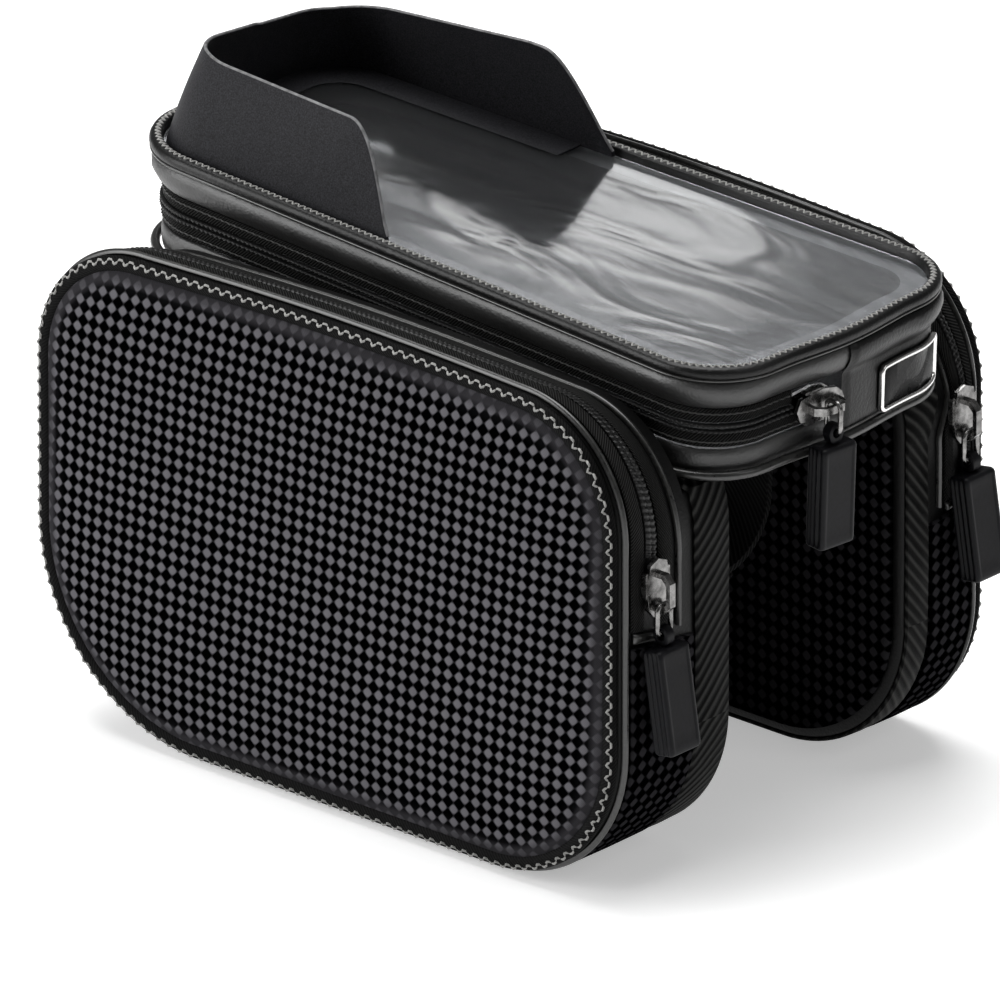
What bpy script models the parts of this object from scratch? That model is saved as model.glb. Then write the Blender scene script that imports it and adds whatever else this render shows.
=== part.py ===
"""Bicycle frame bag: a zipped tray with a window lid and a hood, and a zipped pouch on each side."""
import math

import bmesh
import bpy
from mathutils import Matrix, Vector

# All sizes below are in millimetres, and MM turns them into Blender's metres
MM = 0.001
GAP = 0.3

# Tray and lid, seen from above: the rear end faces the rider
LID_FRONT_X = -98.0
LID_REAR_X = 101.0
LID_FRONT_HALF = 40.0
LID_REAR_HALF = 46.0
LID_FRONT_RADIUS = 23.0
LID_REAR_RADIUS = 20.0
REAR_BOW = 1.8
CORNER_STEPS = 5

# Tray and lid, seen from the side: heights above the tray's underside
BAG_BASE_Z = 103.0
BAG_TILT = 2.0
LID_TOP = 30.5
ZIP_HEIGHT = 13.5
LIP = 3.6
LEATHER = 2.0
FLOOR = 2.0
TAPE = 0.8
TAPE_WIDTH = 3.4
COIL_WIDTH = 1.1
COIL_BULGE = 1.5
SHOULDER_TOP = 27.1
RIM_WIDTH = 3.2
FLANGE_REACH = 10.0
WINDOW = 0.8

# Hinge panel, badge and lid hinge on the rear wall, measured along the wall from its middle
PANEL_NEAR = -1.0
PANEL_FAR = 43.0
PANEL = 1.0
BADGE_NEAR = 12.5
BADGE_LENGTH = 27.0
BADGE_HEIGHT = 12.4
BADGE_LOW = 3.6
BADGE_RIM = 1.3
BADGE_PROUD = 1.1
HINGE_HEIGHT = 18.1
HINGE_OFFSET = -0.4

# Hood
HOOD_HEIGHT = 27.0
HOOD_WALL = 1.4
HOOD_INSET = 4.2
HOOD_LENGTH = 86.6
HOOD_LEAN = 15.0
HOOD_SIDE_LEAN = 7.0
HOOD_CORNER = 28.0
HOOD_END = 1.5

# Pouches: length along the tube, height, and how deep each one is
POUCH_REAR_X = 91.6
POUCH_FRONT_X = -90.4
POUCH_TOP = 124.5
POUCH_FLOOR = 1.5
TUNNEL_HALF = 31.0
NEAR_DEPTH = 40.0
FAR_DEPTH = 27.0
TOP_RADIUS = 31.0
FRONT_BOTTOM_RADIUS = 50.0
REAR_BOTTOM_RADIUS = 38.0
POUCH_CORNER_STEPS = 5
TOP_FALL = 6.5
TOP_ARCH = 1.5
TOP_DEPTH = 24.9
RIM_DEPTH = 2.0
SQUEEZE_FROM_Z = 85.5
SQUEEZE_TO_Z = 94.5
SHELF_DEPTH = 25.4
EDGE_ROUND = 4.0
PANEL_CROWN = 4.6
PANEL_EDGE = 2.6
CORD = 1.3
PIPING_DEPTH = 1.4
PIPING = 1.2
POUCH_ZIP_DEPTH = 10.8
POUCH_TAPE_HALF = 7.2
INNER_PIPING_DEPTH = 20.8
BINDING_DEPTH = 26.8
BINDING = 0.9
ZIP_END_Z = 69.0

# Zipper sliders, links and pullers
SLIDER_LENGTH = 13.6
SLIDER_WIDTH = 8.2
SLIDER_TOP = 3.3
SLIDER_PLATE = 1.1
SLIDER_CHANNEL = 1.9
CROWN_TOP = 7.6
CROWN_WIDTH = 2.0
CROWN_BAR = 1.2
CROWN_LENGTH = 10.0
SLIDER_TRAVEL = 9.0
ZIP_MOUTH = 1.2
LINK_WIRE = 1.3
LINK_WIDTH = 6.0
LINK_HEIGHT = 9.0
LINK_BEND = 1.6
PULLER_LENGTH = 29.0
PULLER_WIDTH = 11.0
PULLER_THICK = 6.0
PULLER_EYE = 2.4
PULLER_LEAN = 9.0
POUCH_SLIDER_Z = 79.5
TOP_SLIDER_Y = -8.8

# Saddle pad and tube straps in the tunnel
SADDLE = 2.6
STRAP_WIDTH = 25.0
STRAP = 1.6
STRAP_LOOP = 44.0
STRAP_RADIUS = 15.0
STRAP_TAB = 24.0
FRONT_STRAP_X = -52.0
REAR_STRAP_X = 46.0


def material(name, colour, roughness, metallic=0.0, alpha=1.0):
    """A plain surface with the part's colour."""
    mat = bpy.data.materials.new(name)
    mat.use_nodes = True
    shader = mat.node_tree.nodes["Principled BSDF"]
    shader.inputs["Base Color"].default_value = (*colour, 1.0)
    shader.inputs["Roughness"].default_value = roughness
    shader.inputs["Metallic"].default_value = metallic
    shader.inputs["Alpha"].default_value = alpha
    return mat


def add_object(name, mesh, mat, parent):
    """Link a mesh as an object under its parent, with round sides smooth and edges sharp."""
    obj = bpy.data.objects.new(name, mesh)
    bpy.context.scene.collection.objects.link(obj)
    if not mesh.materials:
        mesh.materials.append(mat)
    mesh.shade_smooth()
    mesh.set_sharp_from_angle(angle=math.radians(38))
    obj.parent = parent
    return obj


def empty(name, location=(0, 0, 0), parent=None, rotation=(0, 0, 0)):
    """An empty that carries pieces or marks a joint's axis; the location is in millimetres."""
    obj = bpy.data.objects.new(name, None)
    bpy.context.scene.collection.objects.link(obj)
    obj.location = Vector(location) * MM
    obj.rotation_euler = rotation
    obj.parent = parent
    return obj


def skin(sections, closed):
    """A closed mesh over like sections: joined end to end in a loop, or capped at both ends."""
    bm = bmesh.new()
    rings = [[bm.verts.new(Vector(point) * MM) for point in section] for section in sections]
    pairs = list(zip(rings, rings[1:]))
    if closed:
        pairs.append((rings[-1], rings[0]))
    for first, second in pairs:
        count = len(first)
        for i in range(count):
            j = (i + 1) % count
            bm.faces.new((first[i], first[j], second[j], second[i]))
    if not closed:
        bm.faces.new(rings[0])
        bm.faces.new(list(reversed(rings[-1])))
    bmesh.ops.remove_doubles(bm, verts=bm.verts, dist=0.03 * MM)
    bmesh.ops.recalc_face_normals(bm, faces=bm.faces)
    mesh = bpy.data.meshes.new("skin")
    bm.to_mesh(mesh)
    bm.free()
    return mesh


def extrude(outline, low, high, place):
    """A prism over an outline (u, v) from low to high, with place(u, v, w) giving its points."""
    return skin([[place(u, v, low) for u, v in outline], [place(u, v, high) for u, v in outline]], False)


def joined(name, meshes, cuts=()):
    """One closed mesh from overlapping ones, by Boolean unions, less the cutting ones."""
    pieces = [bpy.data.objects.new(f"{name}_guide_{i}", mesh) for i, mesh in enumerate([*meshes, *cuts])]
    for piece in pieces:
        bpy.context.scene.collection.objects.link(piece)
    for i, piece in enumerate(pieces[1:], start=1):
        step = pieces[0].modifiers.new(f"step_{i}", "BOOLEAN")
        step.operation = "UNION" if i < len(meshes) else "DIFFERENCE"
        step.solver = "EXACT"
        step.object = piece
    bpy.context.view_layer.update()
    shape = pieces[0].evaluated_get(bpy.context.evaluated_depsgraph_get())
    mesh = bpy.data.meshes.new_from_object(shape)
    for piece in pieces:
        bpy.data.objects.remove(piece)
    return mesh


def arc(centre, radius, start, end, steps):
    """Points on an arc, with its angles in degrees."""
    angles = [math.radians(start + (end - start) * i / steps) for i in range(steps + 1)]
    return [(centre[0] + radius * math.cos(a), centre[1] + radius * math.sin(a)) for a in angles]


def rounded_box(u0, u1, v0, v1, radius, steps=2):
    """A rectangle with round corners."""
    corners = [((u1 - radius, v1 - radius), 0), ((u0 + radius, v1 - radius), 90),
               ((u0 + radius, v0 + radius), 180), ((u1 - radius, v0 + radius), 270)]
    return [point for centre, a in corners for point in arc(centre, radius, a, a + 90, steps)]


def bead(u, v, radius, sides=6):
    """A round bead's section."""
    return arc((u, v), radius, 0, 360 - 360 / sides, sides - 1)


# Start from an empty scene
for old in list(bpy.data.objects):
    bpy.data.objects.remove(old)

leather = material("leather", (0.012, 0.012, 0.013), 0.42)
weave = material("dot_weave", (0.03, 0.03, 0.034), 0.6)
webbing = material("webbing", (0.014, 0.014, 0.015), 0.8)
binding_mat = material("binding", (0.02, 0.02, 0.021), 0.55)
tape_mat = material("zipper_tape", (0.01, 0.01, 0.011), 0.75)
coil_mat = material("zipper_coil", (0.02, 0.02, 0.02), 0.4)
metal = material("gunmetal", (0.2, 0.2, 0.21), 0.28, metallic=1.0)
silver = material("silver", (0.8, 0.79, 0.79), 0.25, metallic=1.0)
rubber = material("rubber", (0.015, 0.015, 0.017), 0.55)
plate_mat = material("badge_plate", (0.006, 0.006, 0.006), 0.3)
hood_mat = material("hood", (0.02, 0.02, 0.022), 0.7)
clear = material("clear_window", (0.85, 0.87, 0.9), 0.08, alpha=0.25)
foam = material("foam", (0.02, 0.02, 0.02), 0.9)

bag = empty("bag_origin")
top_bag = empty("top_bag_frame", (0, 0, BAG_BASE_Z), bag, (0, math.radians(BAG_TILT), 0))
lid = empty("lid_hinge_axis", (LID_REAR_X + REAR_BOW + HINGE_OFFSET, 0, HINGE_HEIGHT), top_bag)


def lid_piece(name, mesh, mat):
    """A piece of the lid, drawn in the top bag's frame and carried by the hinge."""
    obj = add_object(name, mesh, mat, lid)
    obj.location = -lid.location
    return obj


def rim(t, offset):
    """A point on the lid's outline, from above; t counts its eight runs from the rear edge's far end."""
    rear = LID_REAR_X + offset
    front = LID_FRONT_X - offset
    rear_r = LID_REAR_RADIUS + offset
    front_r = LID_FRONT_RADIUS + offset
    rear_y = LID_REAR_HALF - LID_REAR_RADIUS
    front_y = LID_FRONT_HALF - LID_FRONT_RADIUS
    run, f = int(t) % 8, t - int(t)
    if run == 0:
        y = rear_y * (1 - 2 * f)
        return rear + REAR_BOW * (0.5 + 0.5 * math.cos(math.pi * y / rear_y)), y
    if run == 4:
        return front, front_y * (2 * f - 1)
    if run in (2, 6):
        near = -1 if run == 2 else 1
        ends = [(rear - rear_r, near * (rear_y + rear_r)), (front + front_r, near * (front_y + front_r))]
        a, b = ends if run == 2 else reversed(ends)
        return a[0] + (b[0] - a[0]) * f, a[1] + (b[1] - a[1]) * f
    centre, radius, start = {1: ((rear - rear_r, -rear_y), rear_r, 0),
                             3: ((front + front_r, -front_y), front_r, 270),
                             5: ((front + front_r, front_y), front_r, 180),
                             7: ((rear - rear_r, rear_y), rear_r, 90)}[run]
    a = math.radians(start - 90 * f)
    return centre[0] + radius * math.cos(a), centre[1] + radius * math.sin(a)


def rear_wall(y):
    """The rim's run count at a distance along the rear wall from its middle, positive to the far side."""
    rear_y = LID_REAR_HALF - LID_REAR_RADIUS
    if y > rear_y:
        return 8 - (y - rear_y) / (LID_REAR_RADIUS * math.pi / 2)
    return (1 - y / rear_y) / 2


def rim_stations(start, end):
    """Run counts from start to end, with a few on the rear edge and on each corner."""
    rear = [i / 5 for i in range(1, 5)]
    marks = [0] + rear + [rear_wall(PANEL_NEAR)]
    for corner in (1, 3, 5, 7):
        marks += [corner + i / CORNER_STEPS for i in range(CORNER_STEPS + 1)]
    inner = sorted({round(m, 6) for m in marks if start < m < end})
    return [start] + inner + [end]


def rim_band(profile, start=None, end=None):
    """A band round the lid's outline whose section is given as (offset, height) points."""
    closed = start is None
    stations = rim_stations(0, 8)[:-1] if closed else rim_stations(start, end)
    return skin([[(*rim(t, o), z) for o, z in profile] for t in stations], closed)


def rim_sheet(levels):
    """A lid-shaped solid from (offset, height) levels, lowest first or round a rim and back down."""
    stations = rim_stations(0, 8)[:-1]
    return skin([[(*rim(t, o), z) for t in stations] for o, z in levels], False)


# Tray: a leather cup, open at the top
wall_top = ZIP_HEIGHT - COIL_WIDTH - TAPE_WIDTH - 2 * GAP - 0.2
tray_levels = [(-LIP - 3, 0), (-LIP - 0.8, 0.8), (-LIP, 3.4), (-LIP, wall_top), (-LIP - LEATHER, wall_top),
               (-LIP - LEATHER, FLOOR + 1.5), (-LIP - LEATHER - 1.5, FLOOR)]
add_object("tray_shell", rim_sheet(tray_levels), leather, top_bag)

# Tray floor pad: thin foam on the floor
pad_edge = -LIP - LEATHER - 2.5
pad_levels = [(pad_edge - 1, FLOOR + GAP), (pad_edge, FLOOR + 1), (pad_edge, FLOOR + 3),
              (pad_edge - 1, FLOOR + 4)]
add_object("tray_floor_pad", rim_sheet(pad_levels), foam, top_bag)

# Tray bottom piping: a bead round the lower edge
piping_bead = bead(-LIP + GAP + PIPING, 2.0, PIPING, 5)
add_object("tray_bottom_piping", rim_band(piping_bead), binding_mat, top_bag)

# Zipper halves of the tray and the lid, from the slider's place round the front to the hinge panel
zip_start = rear_wall(TOP_SLIDER_Y - SLIDER_LENGTH / 2 - ZIP_MOUTH)
zip_end = rear_wall(PANEL_FAR + 1.5)
tape_low = wall_top + GAP
tape_high = ZIP_HEIGHT + COIL_WIDTH + 0.2 + GAP


def strip(low, high, inner, outer):
    """A flat band's section."""
    return [(inner, low), (outer, low), (outer, high), (inner, high)]


tape_in, tape_out = -LIP - TAPE, -LIP
add_object("tray_zipper_tape", rim_band(strip(tape_low, tape_low + TAPE_WIDTH, tape_in, tape_out),
                                        rear_wall(PANEL_NEAR - GAP), zip_end), tape_mat, top_bag)
lid_piece("lid_zipper_tape", rim_band(strip(tape_high, tape_high + TAPE_WIDTH, tape_in, tape_out), zip_start,
                                      zip_end), tape_mat)
coil_in, coil_out = tape_in, tape_in + COIL_BULGE
coil_low = ZIP_HEIGHT - 0.2 - COIL_WIDTH
coil_high = ZIP_HEIGHT + 0.2
add_object("tray_zipper_coil", rim_band(strip(coil_low, coil_low + COIL_WIDTH, coil_in, coil_out),
                                        zip_start, zip_end), coil_mat, top_bag)
lid_piece("lid_zipper_coil", rim_band(strip(coil_high, coil_high + COIL_WIDTH, coil_in, coil_out),
                                      zip_start, zip_end), coil_mat)

# Lid shoulder: a bulged leather band that turns in as a flange under the window
shoulder_low = tape_high + TAPE_WIDTH + GAP
shoulder_rise = SHOULDER_TOP - shoulder_low
shoulder = [(-LIP, shoulder_low), (-1.4, shoulder_low + 0.3 * shoulder_rise),
            (-0.7, shoulder_low + 0.65 * shoulder_rise), (-1.8, SHOULDER_TOP - 0.4), (-2.8, SHOULDER_TOP),
            (-FLANGE_REACH, SHOULDER_TOP), (-FLANGE_REACH, SHOULDER_TOP - 1.2),
            (-LIP - LEATHER, SHOULDER_TOP - 2), (-LIP - LEATHER, shoulder_low)]
lid_piece("lid_shoulder", rim_band(shoulder), leather)

# Lid binding: the bound rim round the window's edge
rim_low = SHOULDER_TOP + GAP
binding = [(-RIM_WIDTH, rim_low), (-0.9, rim_low), (0, rim_low + 1.0), (-0.3, LID_TOP - 0.8),
           (-1.4, LID_TOP), (-RIM_WIDTH, LID_TOP - 0.3)]
lid_piece("lid_binding", rim_band(binding), binding_mat)

# Lid window: a clear sheet on the flange, with its edge at the binding
window_edge = -RIM_WIDTH - GAP
window_low = SHOULDER_TOP + GAP
lid_piece("lid_window", rim_sheet([(window_edge, window_low), (window_edge, window_low + WINDOW)]), clear)

# Hood: one U-shaped wall round the front of the lid, leaning back, with big round corners at its ends
hood_base = window_low + WINDOW + GAP


def hood_section(t):
    """The hood's wall at one place on the rim: it leans in at the sides and back at the front."""
    x_out, y_out = rim(t, -HOOD_INSET)
    x_in, y_in = rim(t, -HOOD_INSET - HOOD_WALL)
    left = HOOD_LENGTH - (x_out - LID_FRONT_X)
    height = max(HOOD_END, HOOD_HEIGHT * math.sin(math.pi / 2 * min(1.0, max(0.0, left / HOOD_CORNER))))
    back = HOOD_LEAN * height / HOOD_HEIGHT * max(0.0, left / HOOD_LENGTH)
    inward = 1 - HOOD_SIDE_LEAN / LID_FRONT_HALF * height / HOOD_HEIGHT
    return [(x_out, y_out, hood_base), (x_out + back, y_out * inward, hood_base + height),
            (x_in + back, y_in * inward, hood_base + height), (x_in, y_in, hood_base)]


def side_run(x):
    """The rim's run count where the near long side is at x."""
    rear_end, front_end = rim(2, 0)[0], rim(3, 0)[0]
    return 2 + (rear_end - x) / (rear_end - front_end)


hood_shares = (0, 0.1, 0.25, 0.45, 0.7, 1)
hood_side = [side_run(LID_FRONT_X + HOOD_LENGTH - HOOD_CORNER * share) for share in hood_shares]
hood_marks = hood_side + rim_stations(3, 6) + [9 - t for t in reversed(hood_side)]
lid_piece("hood", skin([hood_section(t) for t in hood_marks], False), hood_mat)

# Hinge panel: leather over the rear wall where the zipper stops, up to the lid's hinge line
panel_in = -LIP + GAP


def wall_point(y, offset, z):
    """A point at a distance along the rear wall, at an offset from the rim and at a height."""
    return (*rim(rear_wall(y), offset), z)


panel_low = 2.0 + PIPING + GAP
panel_section = [(panel_in, panel_low), (panel_in + PANEL, panel_low),
                 (panel_in + PANEL, HINGE_HEIGHT - GAP),
                 (panel_in, HINGE_HEIGHT - GAP)]
panel_rings = [[wall_point(PANEL_NEAR + (PANEL_FAR - PANEL_NEAR) * i / 10, o, z) for o, z in panel_section]
               for i in range(11)]
add_object("hinge_panel", skin(panel_rings, False), leather, top_bag)

# Badge: a black plate in a silver rim, bent to the panel
badge_in = panel_in + PANEL + GAP
badge_mid = BADGE_LOW + BADGE_HEIGHT / 2


def on_badge(u, v, w):
    """A point on the badge: u along the wall from its near end, v up from its middle, w outwards."""
    return wall_point(BADGE_NEAR + u, badge_in + w, badge_mid + v)


def badge_loop(inset):
    """The badge's outline, inset from its edge."""
    half = BADGE_HEIGHT / 2 - inset
    radius = max(0.5, 2.0 - inset)
    u0, u1 = inset, BADGE_LENGTH - inset
    loop = rounded_box(u0, u1, -half, half, radius)
    span = [u0 + (u1 - u0) * i / 4 for i in (1, 2, 3)]
    top = [(u, half) for u in reversed(span)]
    bottom = [(u, -half) for u in span]
    return loop[:3] + top + loop[3:9] + bottom + loop[9:]


outer, inner = badge_loop(0), badge_loop(BADGE_RIM)
badge_rings = [[on_badge(*outer[i], 0), on_badge(*outer[i], BADGE_PROUD), on_badge(*inner[i], BADGE_PROUD),
                on_badge(*inner[i], 0)] for i in range(len(outer))]
add_object("badge_frame", skin(badge_rings, True), silver, top_bag)
plate_u0, plate_u1 = BADGE_RIM + GAP, BADGE_LENGTH - BADGE_RIM - GAP
plate_half = BADGE_HEIGHT / 2 - BADGE_RIM - GAP
plate_rings = []
for i in range(6):
    u = plate_u0 + (plate_u1 - plate_u0) * i / 5
    plate_rings.append([on_badge(u, -plate_half, 0), on_badge(u, -plate_half, 0.5 * BADGE_PROUD),
                        on_badge(u, plate_half, 0.5 * BADGE_PROUD), on_badge(u, plate_half, 0)])
add_object("badge_plate", skin(plate_rings, False), plate_mat, top_bag)

# Saddle pad: the padded web between the pouches, on the tube
saddle_half = TUNNEL_HALF - 0.5
saddle_outline = rounded_box(POUCH_FRONT_X + 14, POUCH_REAR_X - 14, -saddle_half, saddle_half, 8)
saddle = extrude(saddle_outline, -SADDLE - GAP, -GAP, lambda u, v, w: (u, v, w))
add_object("saddle_pad", saddle, webbing, top_bag)

# Tube straps: closed webbing loops under the saddle, each with its hook tab lapped outside
strap_top = -SADDLE - 2 * GAP


def strap_loop(grow):
    """The strap's outline across the tube, grown outwards."""
    half = STRAP_LOOP / 2 + grow
    return rounded_box(-half, half, strap_top - STRAP - STRAP_LOOP - grow, strap_top - STRAP + grow,
                       STRAP_RADIUS + grow, 4)


for place, x in (("front", FRONT_STRAP_X), ("rear", REAR_STRAP_X)):
    rings = [[(x - STRAP_WIDTH / 2, *a), (x + STRAP_WIDTH / 2, *a), (x + STRAP_WIDTH / 2, *b),
              (x - STRAP_WIDTH / 2, *b)] for a, b in zip(strap_loop(0), strap_loop(STRAP))]
    add_object(f"{place}_strap", skin(rings, True), webbing, top_bag)
    tab_top = strap_top - STRAP - STRAP_LOOP - STRAP - GAP
    tab = rounded_box(x - STRAP_WIDTH / 2, x + STRAP_WIDTH / 2, -STRAP_TAB / 2, STRAP_TAB / 2, 3)
    add_object(f"{place}_strap_tab", extrude(tab, tab_top - 1.2, tab_top, lambda u, v, w: (u, v, w)),
               webbing, top_bag)


def pouch_run(t, front_x, rear_x, floor, top, top_r, front_r, rear_r, arch):
    """A point on a pouch's outline, from the side: up the rear, over the top, down the front and back."""
    run, f = int(t) % 8, t - int(t)
    if run == 0:
        return rear_x, floor + rear_r + (top - top_r - floor - rear_r) * f
    if run == 2:
        x = rear_x - top_r + (front_x + 2 * top_r - rear_x) * f
        return x, top + arch * math.sin(math.pi * f)
    if run == 4:
        return front_x, top - top_r + (floor + front_r - top + top_r) * f
    if run == 6:
        return front_x + front_r + (rear_x - rear_r - front_x - front_r) * f, floor
    centre, radius, start = {1: ((rear_x - top_r, top - top_r), top_r, 0),
                             3: ((front_x + top_r, top - top_r), top_r, 90),
                             5: ((front_x + front_r, floor + front_r), front_r, 180),
                             7: ((rear_x - rear_r, floor + rear_r), rear_r, 270)}[run]
    a = math.radians(start + 90 * f)
    return centre[0] + radius * math.cos(a), centre[1] + radius * math.sin(a)


def pouch_stations(start, end):
    """Run counts from start to end, with a few on each corner and along the top."""
    marks = [2 + i / 4 for i in range(1, 4)] + list(side_height(SQUEEZE_FROM_Z))
    for corner in (1, 3, 5, 7):
        marks += [corner + i / POUCH_CORNER_STEPS for i in range(POUCH_CORNER_STEPS + 1)]
    inner_marks = sorted({round(m, 6) for m in marks if start < m < end})
    return [start] + inner_marks + [end]


def fall(depth):
    """How far the top has come down at a depth in from the outer face."""
    return TOP_FALL * min(1.0, max(0.0, depth / INNER_PIPING_DEPTH)) ** 1.3


def under_tray(x):
    """The height of the tray's underside at x."""
    return BAG_BASE_Z - x * math.tan(math.radians(BAG_TILT))


def tray_side(x):
    """The tray wall's half width at x."""
    share = (x - rim(3, 0)[0]) / (rim(2, 0)[0] - rim(3, 0)[0])
    half = LID_FRONT_HALF + (LID_REAR_HALF - LID_FRONT_HALF) * min(1.0, max(0.0, share))
    return half - LIP + 2 * PIPING + 2 * GAP


class Pouch:
    """One side pouch: depths are measured in from its outer face, heights out from its gusset."""

    def __init__(self, name, side, pouch_depth):
        self.name = name
        self.side = side
        self.outer = TUNNEL_HALF + pouch_depth
        self.side_squeeze = (pouch_depth - RIM_DEPTH) / (NEAR_DEPTH - RIM_DEPTH)
        self.top_squeeze = 1 - (NEAR_DEPTH - pouch_depth) / (TOP_DEPTH - RIM_DEPTH)
        self.frame = empty(f"{name}_frame", parent=bag)

    def y(self, depth, z=0.0):
        """The world's Y at a depth and height: a thinner pouch is squeezed, and more so beside the tray."""
        share = min(1.0, max(0.0, (z - SQUEEZE_FROM_Z) / (SQUEEZE_TO_Z - SQUEEZE_FROM_Z)))
        squeeze = self.side_squeeze + (self.top_squeeze - self.side_squeeze) * share
        edge = min(depth, RIM_DEPTH)
        top = max(0.0, min(depth, TOP_DEPTH) - RIM_DEPTH) * squeeze
        turn = RIM_DEPTH + (TOP_DEPTH - RIM_DEPTH) * squeeze
        rest = (self.outer - TUNNEL_HALF - turn) / (NEAR_DEPTH - TOP_DEPTH)
        return self.side * (self.outer - edge - top - max(0.0, depth - TOP_DEPTH) * rest)

    def point(self, t, depth, height):
        """A point over the gusset: run count, depth and height."""
        x, z = pouch_run(t, POUCH_FRONT_X - height, POUCH_REAR_X + height, POUCH_FLOOR - height,
                         POUCH_TOP + height - fall(depth), TOP_RADIUS + height, FRONT_BOTTOM_RADIUS + height,
                         REAR_BOTTOM_RADIUS + height, TOP_ARCH)
        return x, self.y(depth, z), z

    def shelf(self, t, depth, height):
        """A point on the part under the tray: the same outline, cut off below the tray's underside."""
        x, y, z = self.point(t, depth, height)
        roof = under_tray(x) - 2 * GAP - BINDING - GAP + height
        return x, y, min(z, roof)

    def add(self, part, mesh, mat, parent=None):
        """Link a mesh as one of the pouch's pieces."""
        return add_object(f"{self.name}_{part}", mesh, mat, parent or self.frame)

    def loop(self, profile, place=None):
        """A bead or band all round, from (depth, height) points."""
        place = place or self.point
        stations = pouch_stations(0, 8)[:-1]
        return skin([[place(t, d, h) for d, h in profile] for t in stations], True)

    def run(self, profile, start, end):
        """A band from one run count to another."""
        return skin([[self.point(t, d, h) for d, h in profile] for t in pouch_stations(start, end)], False)


def side_height(z):
    """The zipper's run count where the rear side has a height, and the one where the front side has it."""
    high = POUCH_TOP - fall(POUCH_ZIP_DEPTH) - TOP_RADIUS
    low_rear = POUCH_FLOOR + REAR_BOTTOM_RADIUS
    low_front = POUCH_FLOOR + FRONT_BOTTOM_RADIUS
    return (z - low_rear) / (high - low_rear), 4 + (high - z) / (high - low_front)


def slider_mesh():
    """A slider with its plates, nose and crown; x is its travel, y its width and z outwards."""
    half = SLIDER_LENGTH / 2
    wide = SLIDER_WIDTH / 2
    boat = arc((half - 2.5, 0), wide, -90, 90, 4)[1:-1] + [(0, wide), (-half + 2.6, wide * 0.82)] + \
        arc((-half + 2.6, 0), 2.6, 90, 270, 4)[1:-1] + [(-half + 2.6, -wide * 0.82), (0, -wide)]
    plate = extrude(boat, SLIDER_TOP - SLIDER_PLATE, SLIDER_TOP, lambda u, v, w: (u, v, w))
    narrow = [(u * 0.94, v * 0.8) for u, v in boat]
    base = extrude(narrow, -SLIDER_CHANNEL, -SLIDER_CHANNEL + 1.0, lambda u, v, w: (u, v, w))
    nose = extrude(rounded_box(-half + 0.9, -half + 3.6, -1.2, 1.2, 0.8), -SLIDER_CHANNEL + 0.4,
                   SLIDER_TOP - 0.4, lambda u, v, w: (u, v, w))
    reach, top = CROWN_LENGTH / 2, CROWN_TOP
    outside = [(-reach, SLIDER_TOP - 0.5), (-reach, top - 2), (-reach + 2, top), (reach - 2, top),
               (reach, top - 2), (reach, SLIDER_TOP - 0.5)]
    inside = [(reach - CROWN_BAR, SLIDER_TOP - 0.5), (reach - CROWN_BAR, top - CROWN_BAR - 1.4),
              (reach - CROWN_BAR - 1.4, top - CROWN_BAR), (-reach + CROWN_BAR + 1.4, top - CROWN_BAR),
              (-reach + CROWN_BAR, top - CROWN_BAR - 1.4), (-reach + CROWN_BAR, SLIDER_TOP - 0.5)]
    crown = extrude(outside + inside, -CROWN_WIDTH / 2, CROWN_WIDTH / 2, lambda u, v, w: (u, w, v))
    flanges = [extrude(rounded_box(-1.0, half - 1.2, s * wide - 0.45, s * wide + 0.45, 0.4, 1),
                       1.5, SLIDER_TOP - 0.3, lambda u, v, w: (u, v * 0.94, w)) for s in (-1, 1)]
    return joined("slider", [plate, base, nose, crown, *flanges])


def link_mesh():
    """An oval wire link in the y-z plane, with the middle of its upper wire at the origin."""
    wire = LINK_WIRE / 2
    half_w = LINK_WIDTH / 2 - wire
    half_h = LINK_HEIGHT / 2 - wire
    rings = []
    for y, z in rounded_box(-half_w, half_w, -2 * half_h, 0, LINK_BEND, 3):
        core_w, core_h = half_w - LINK_BEND, half_h - LINK_BEND
        core = Vector((0, max(-core_w, min(core_w, y)), max(-core_h, min(core_h, z + half_h)) - half_h))
        out = (Vector((0, y, z)) - core).normalized()
        rings.append([Vector((wire * math.cos(a), y, z)) + out * wire * math.sin(a)
                      for a in [math.tau * i / 6 for i in range(6)]])
    return skin(rings, True)


def puller_mesh(across):
    """A moulded puller that hangs from its eye at the origin; the eye runs across it or through it."""
    half_w, half_t = PULLER_WIDTH / 2, PULLER_THICK / 2
    eye = PULLER_EYE / 2
    top = -eye - 1.6
    low = -PULLER_LENGTH
    face = rounded_box(-half_w, half_w, low, top, 2.2, 3)
    inset = rounded_box(-half_w + 1.0, half_w - 1.0, low + 1.0, top - 1.0, 1.6, 3)
    lip = half_t - 1.0
    body = skin([[(w, u, v) for u, v in ring] for w, ring in
                 ((-half_t, inset), (-lip, face), (-0.5, face), (-0.5, inset), (0.5, inset), (0.5, face),
                  (lip, face), (half_t, inset))], False)
    tongue = LINK_WIDTH / 2 - LINK_WIRE - GAP
    tall = arc((0, 0), eye + 1.1, 0, 180, 6) + [(-eye - 1.1, top - 1.4), (eye + 1.1, top - 1.4)]
    hole = bead(0, 0, eye, 10)
    if across:
        ear = extrude(tall, -tongue, tongue, lambda u, v, w: (u, w, v))
        drill = extrude(hole, -half_w, half_w, lambda u, v, w: (u, w, v))
    else:
        ear = extrude(tall, -tongue, tongue, lambda u, v, w: (w, u, v))
        drill = extrude(hole, -half_w, half_w, lambda u, v, w: (w, u, v))
    return joined("puller", [body, ear], [drill])


slider_shape = slider_mesh()
link_shape = link_mesh()
puller_across = puller_mesh(True)
puller_through = puller_mesh(False)


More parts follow.
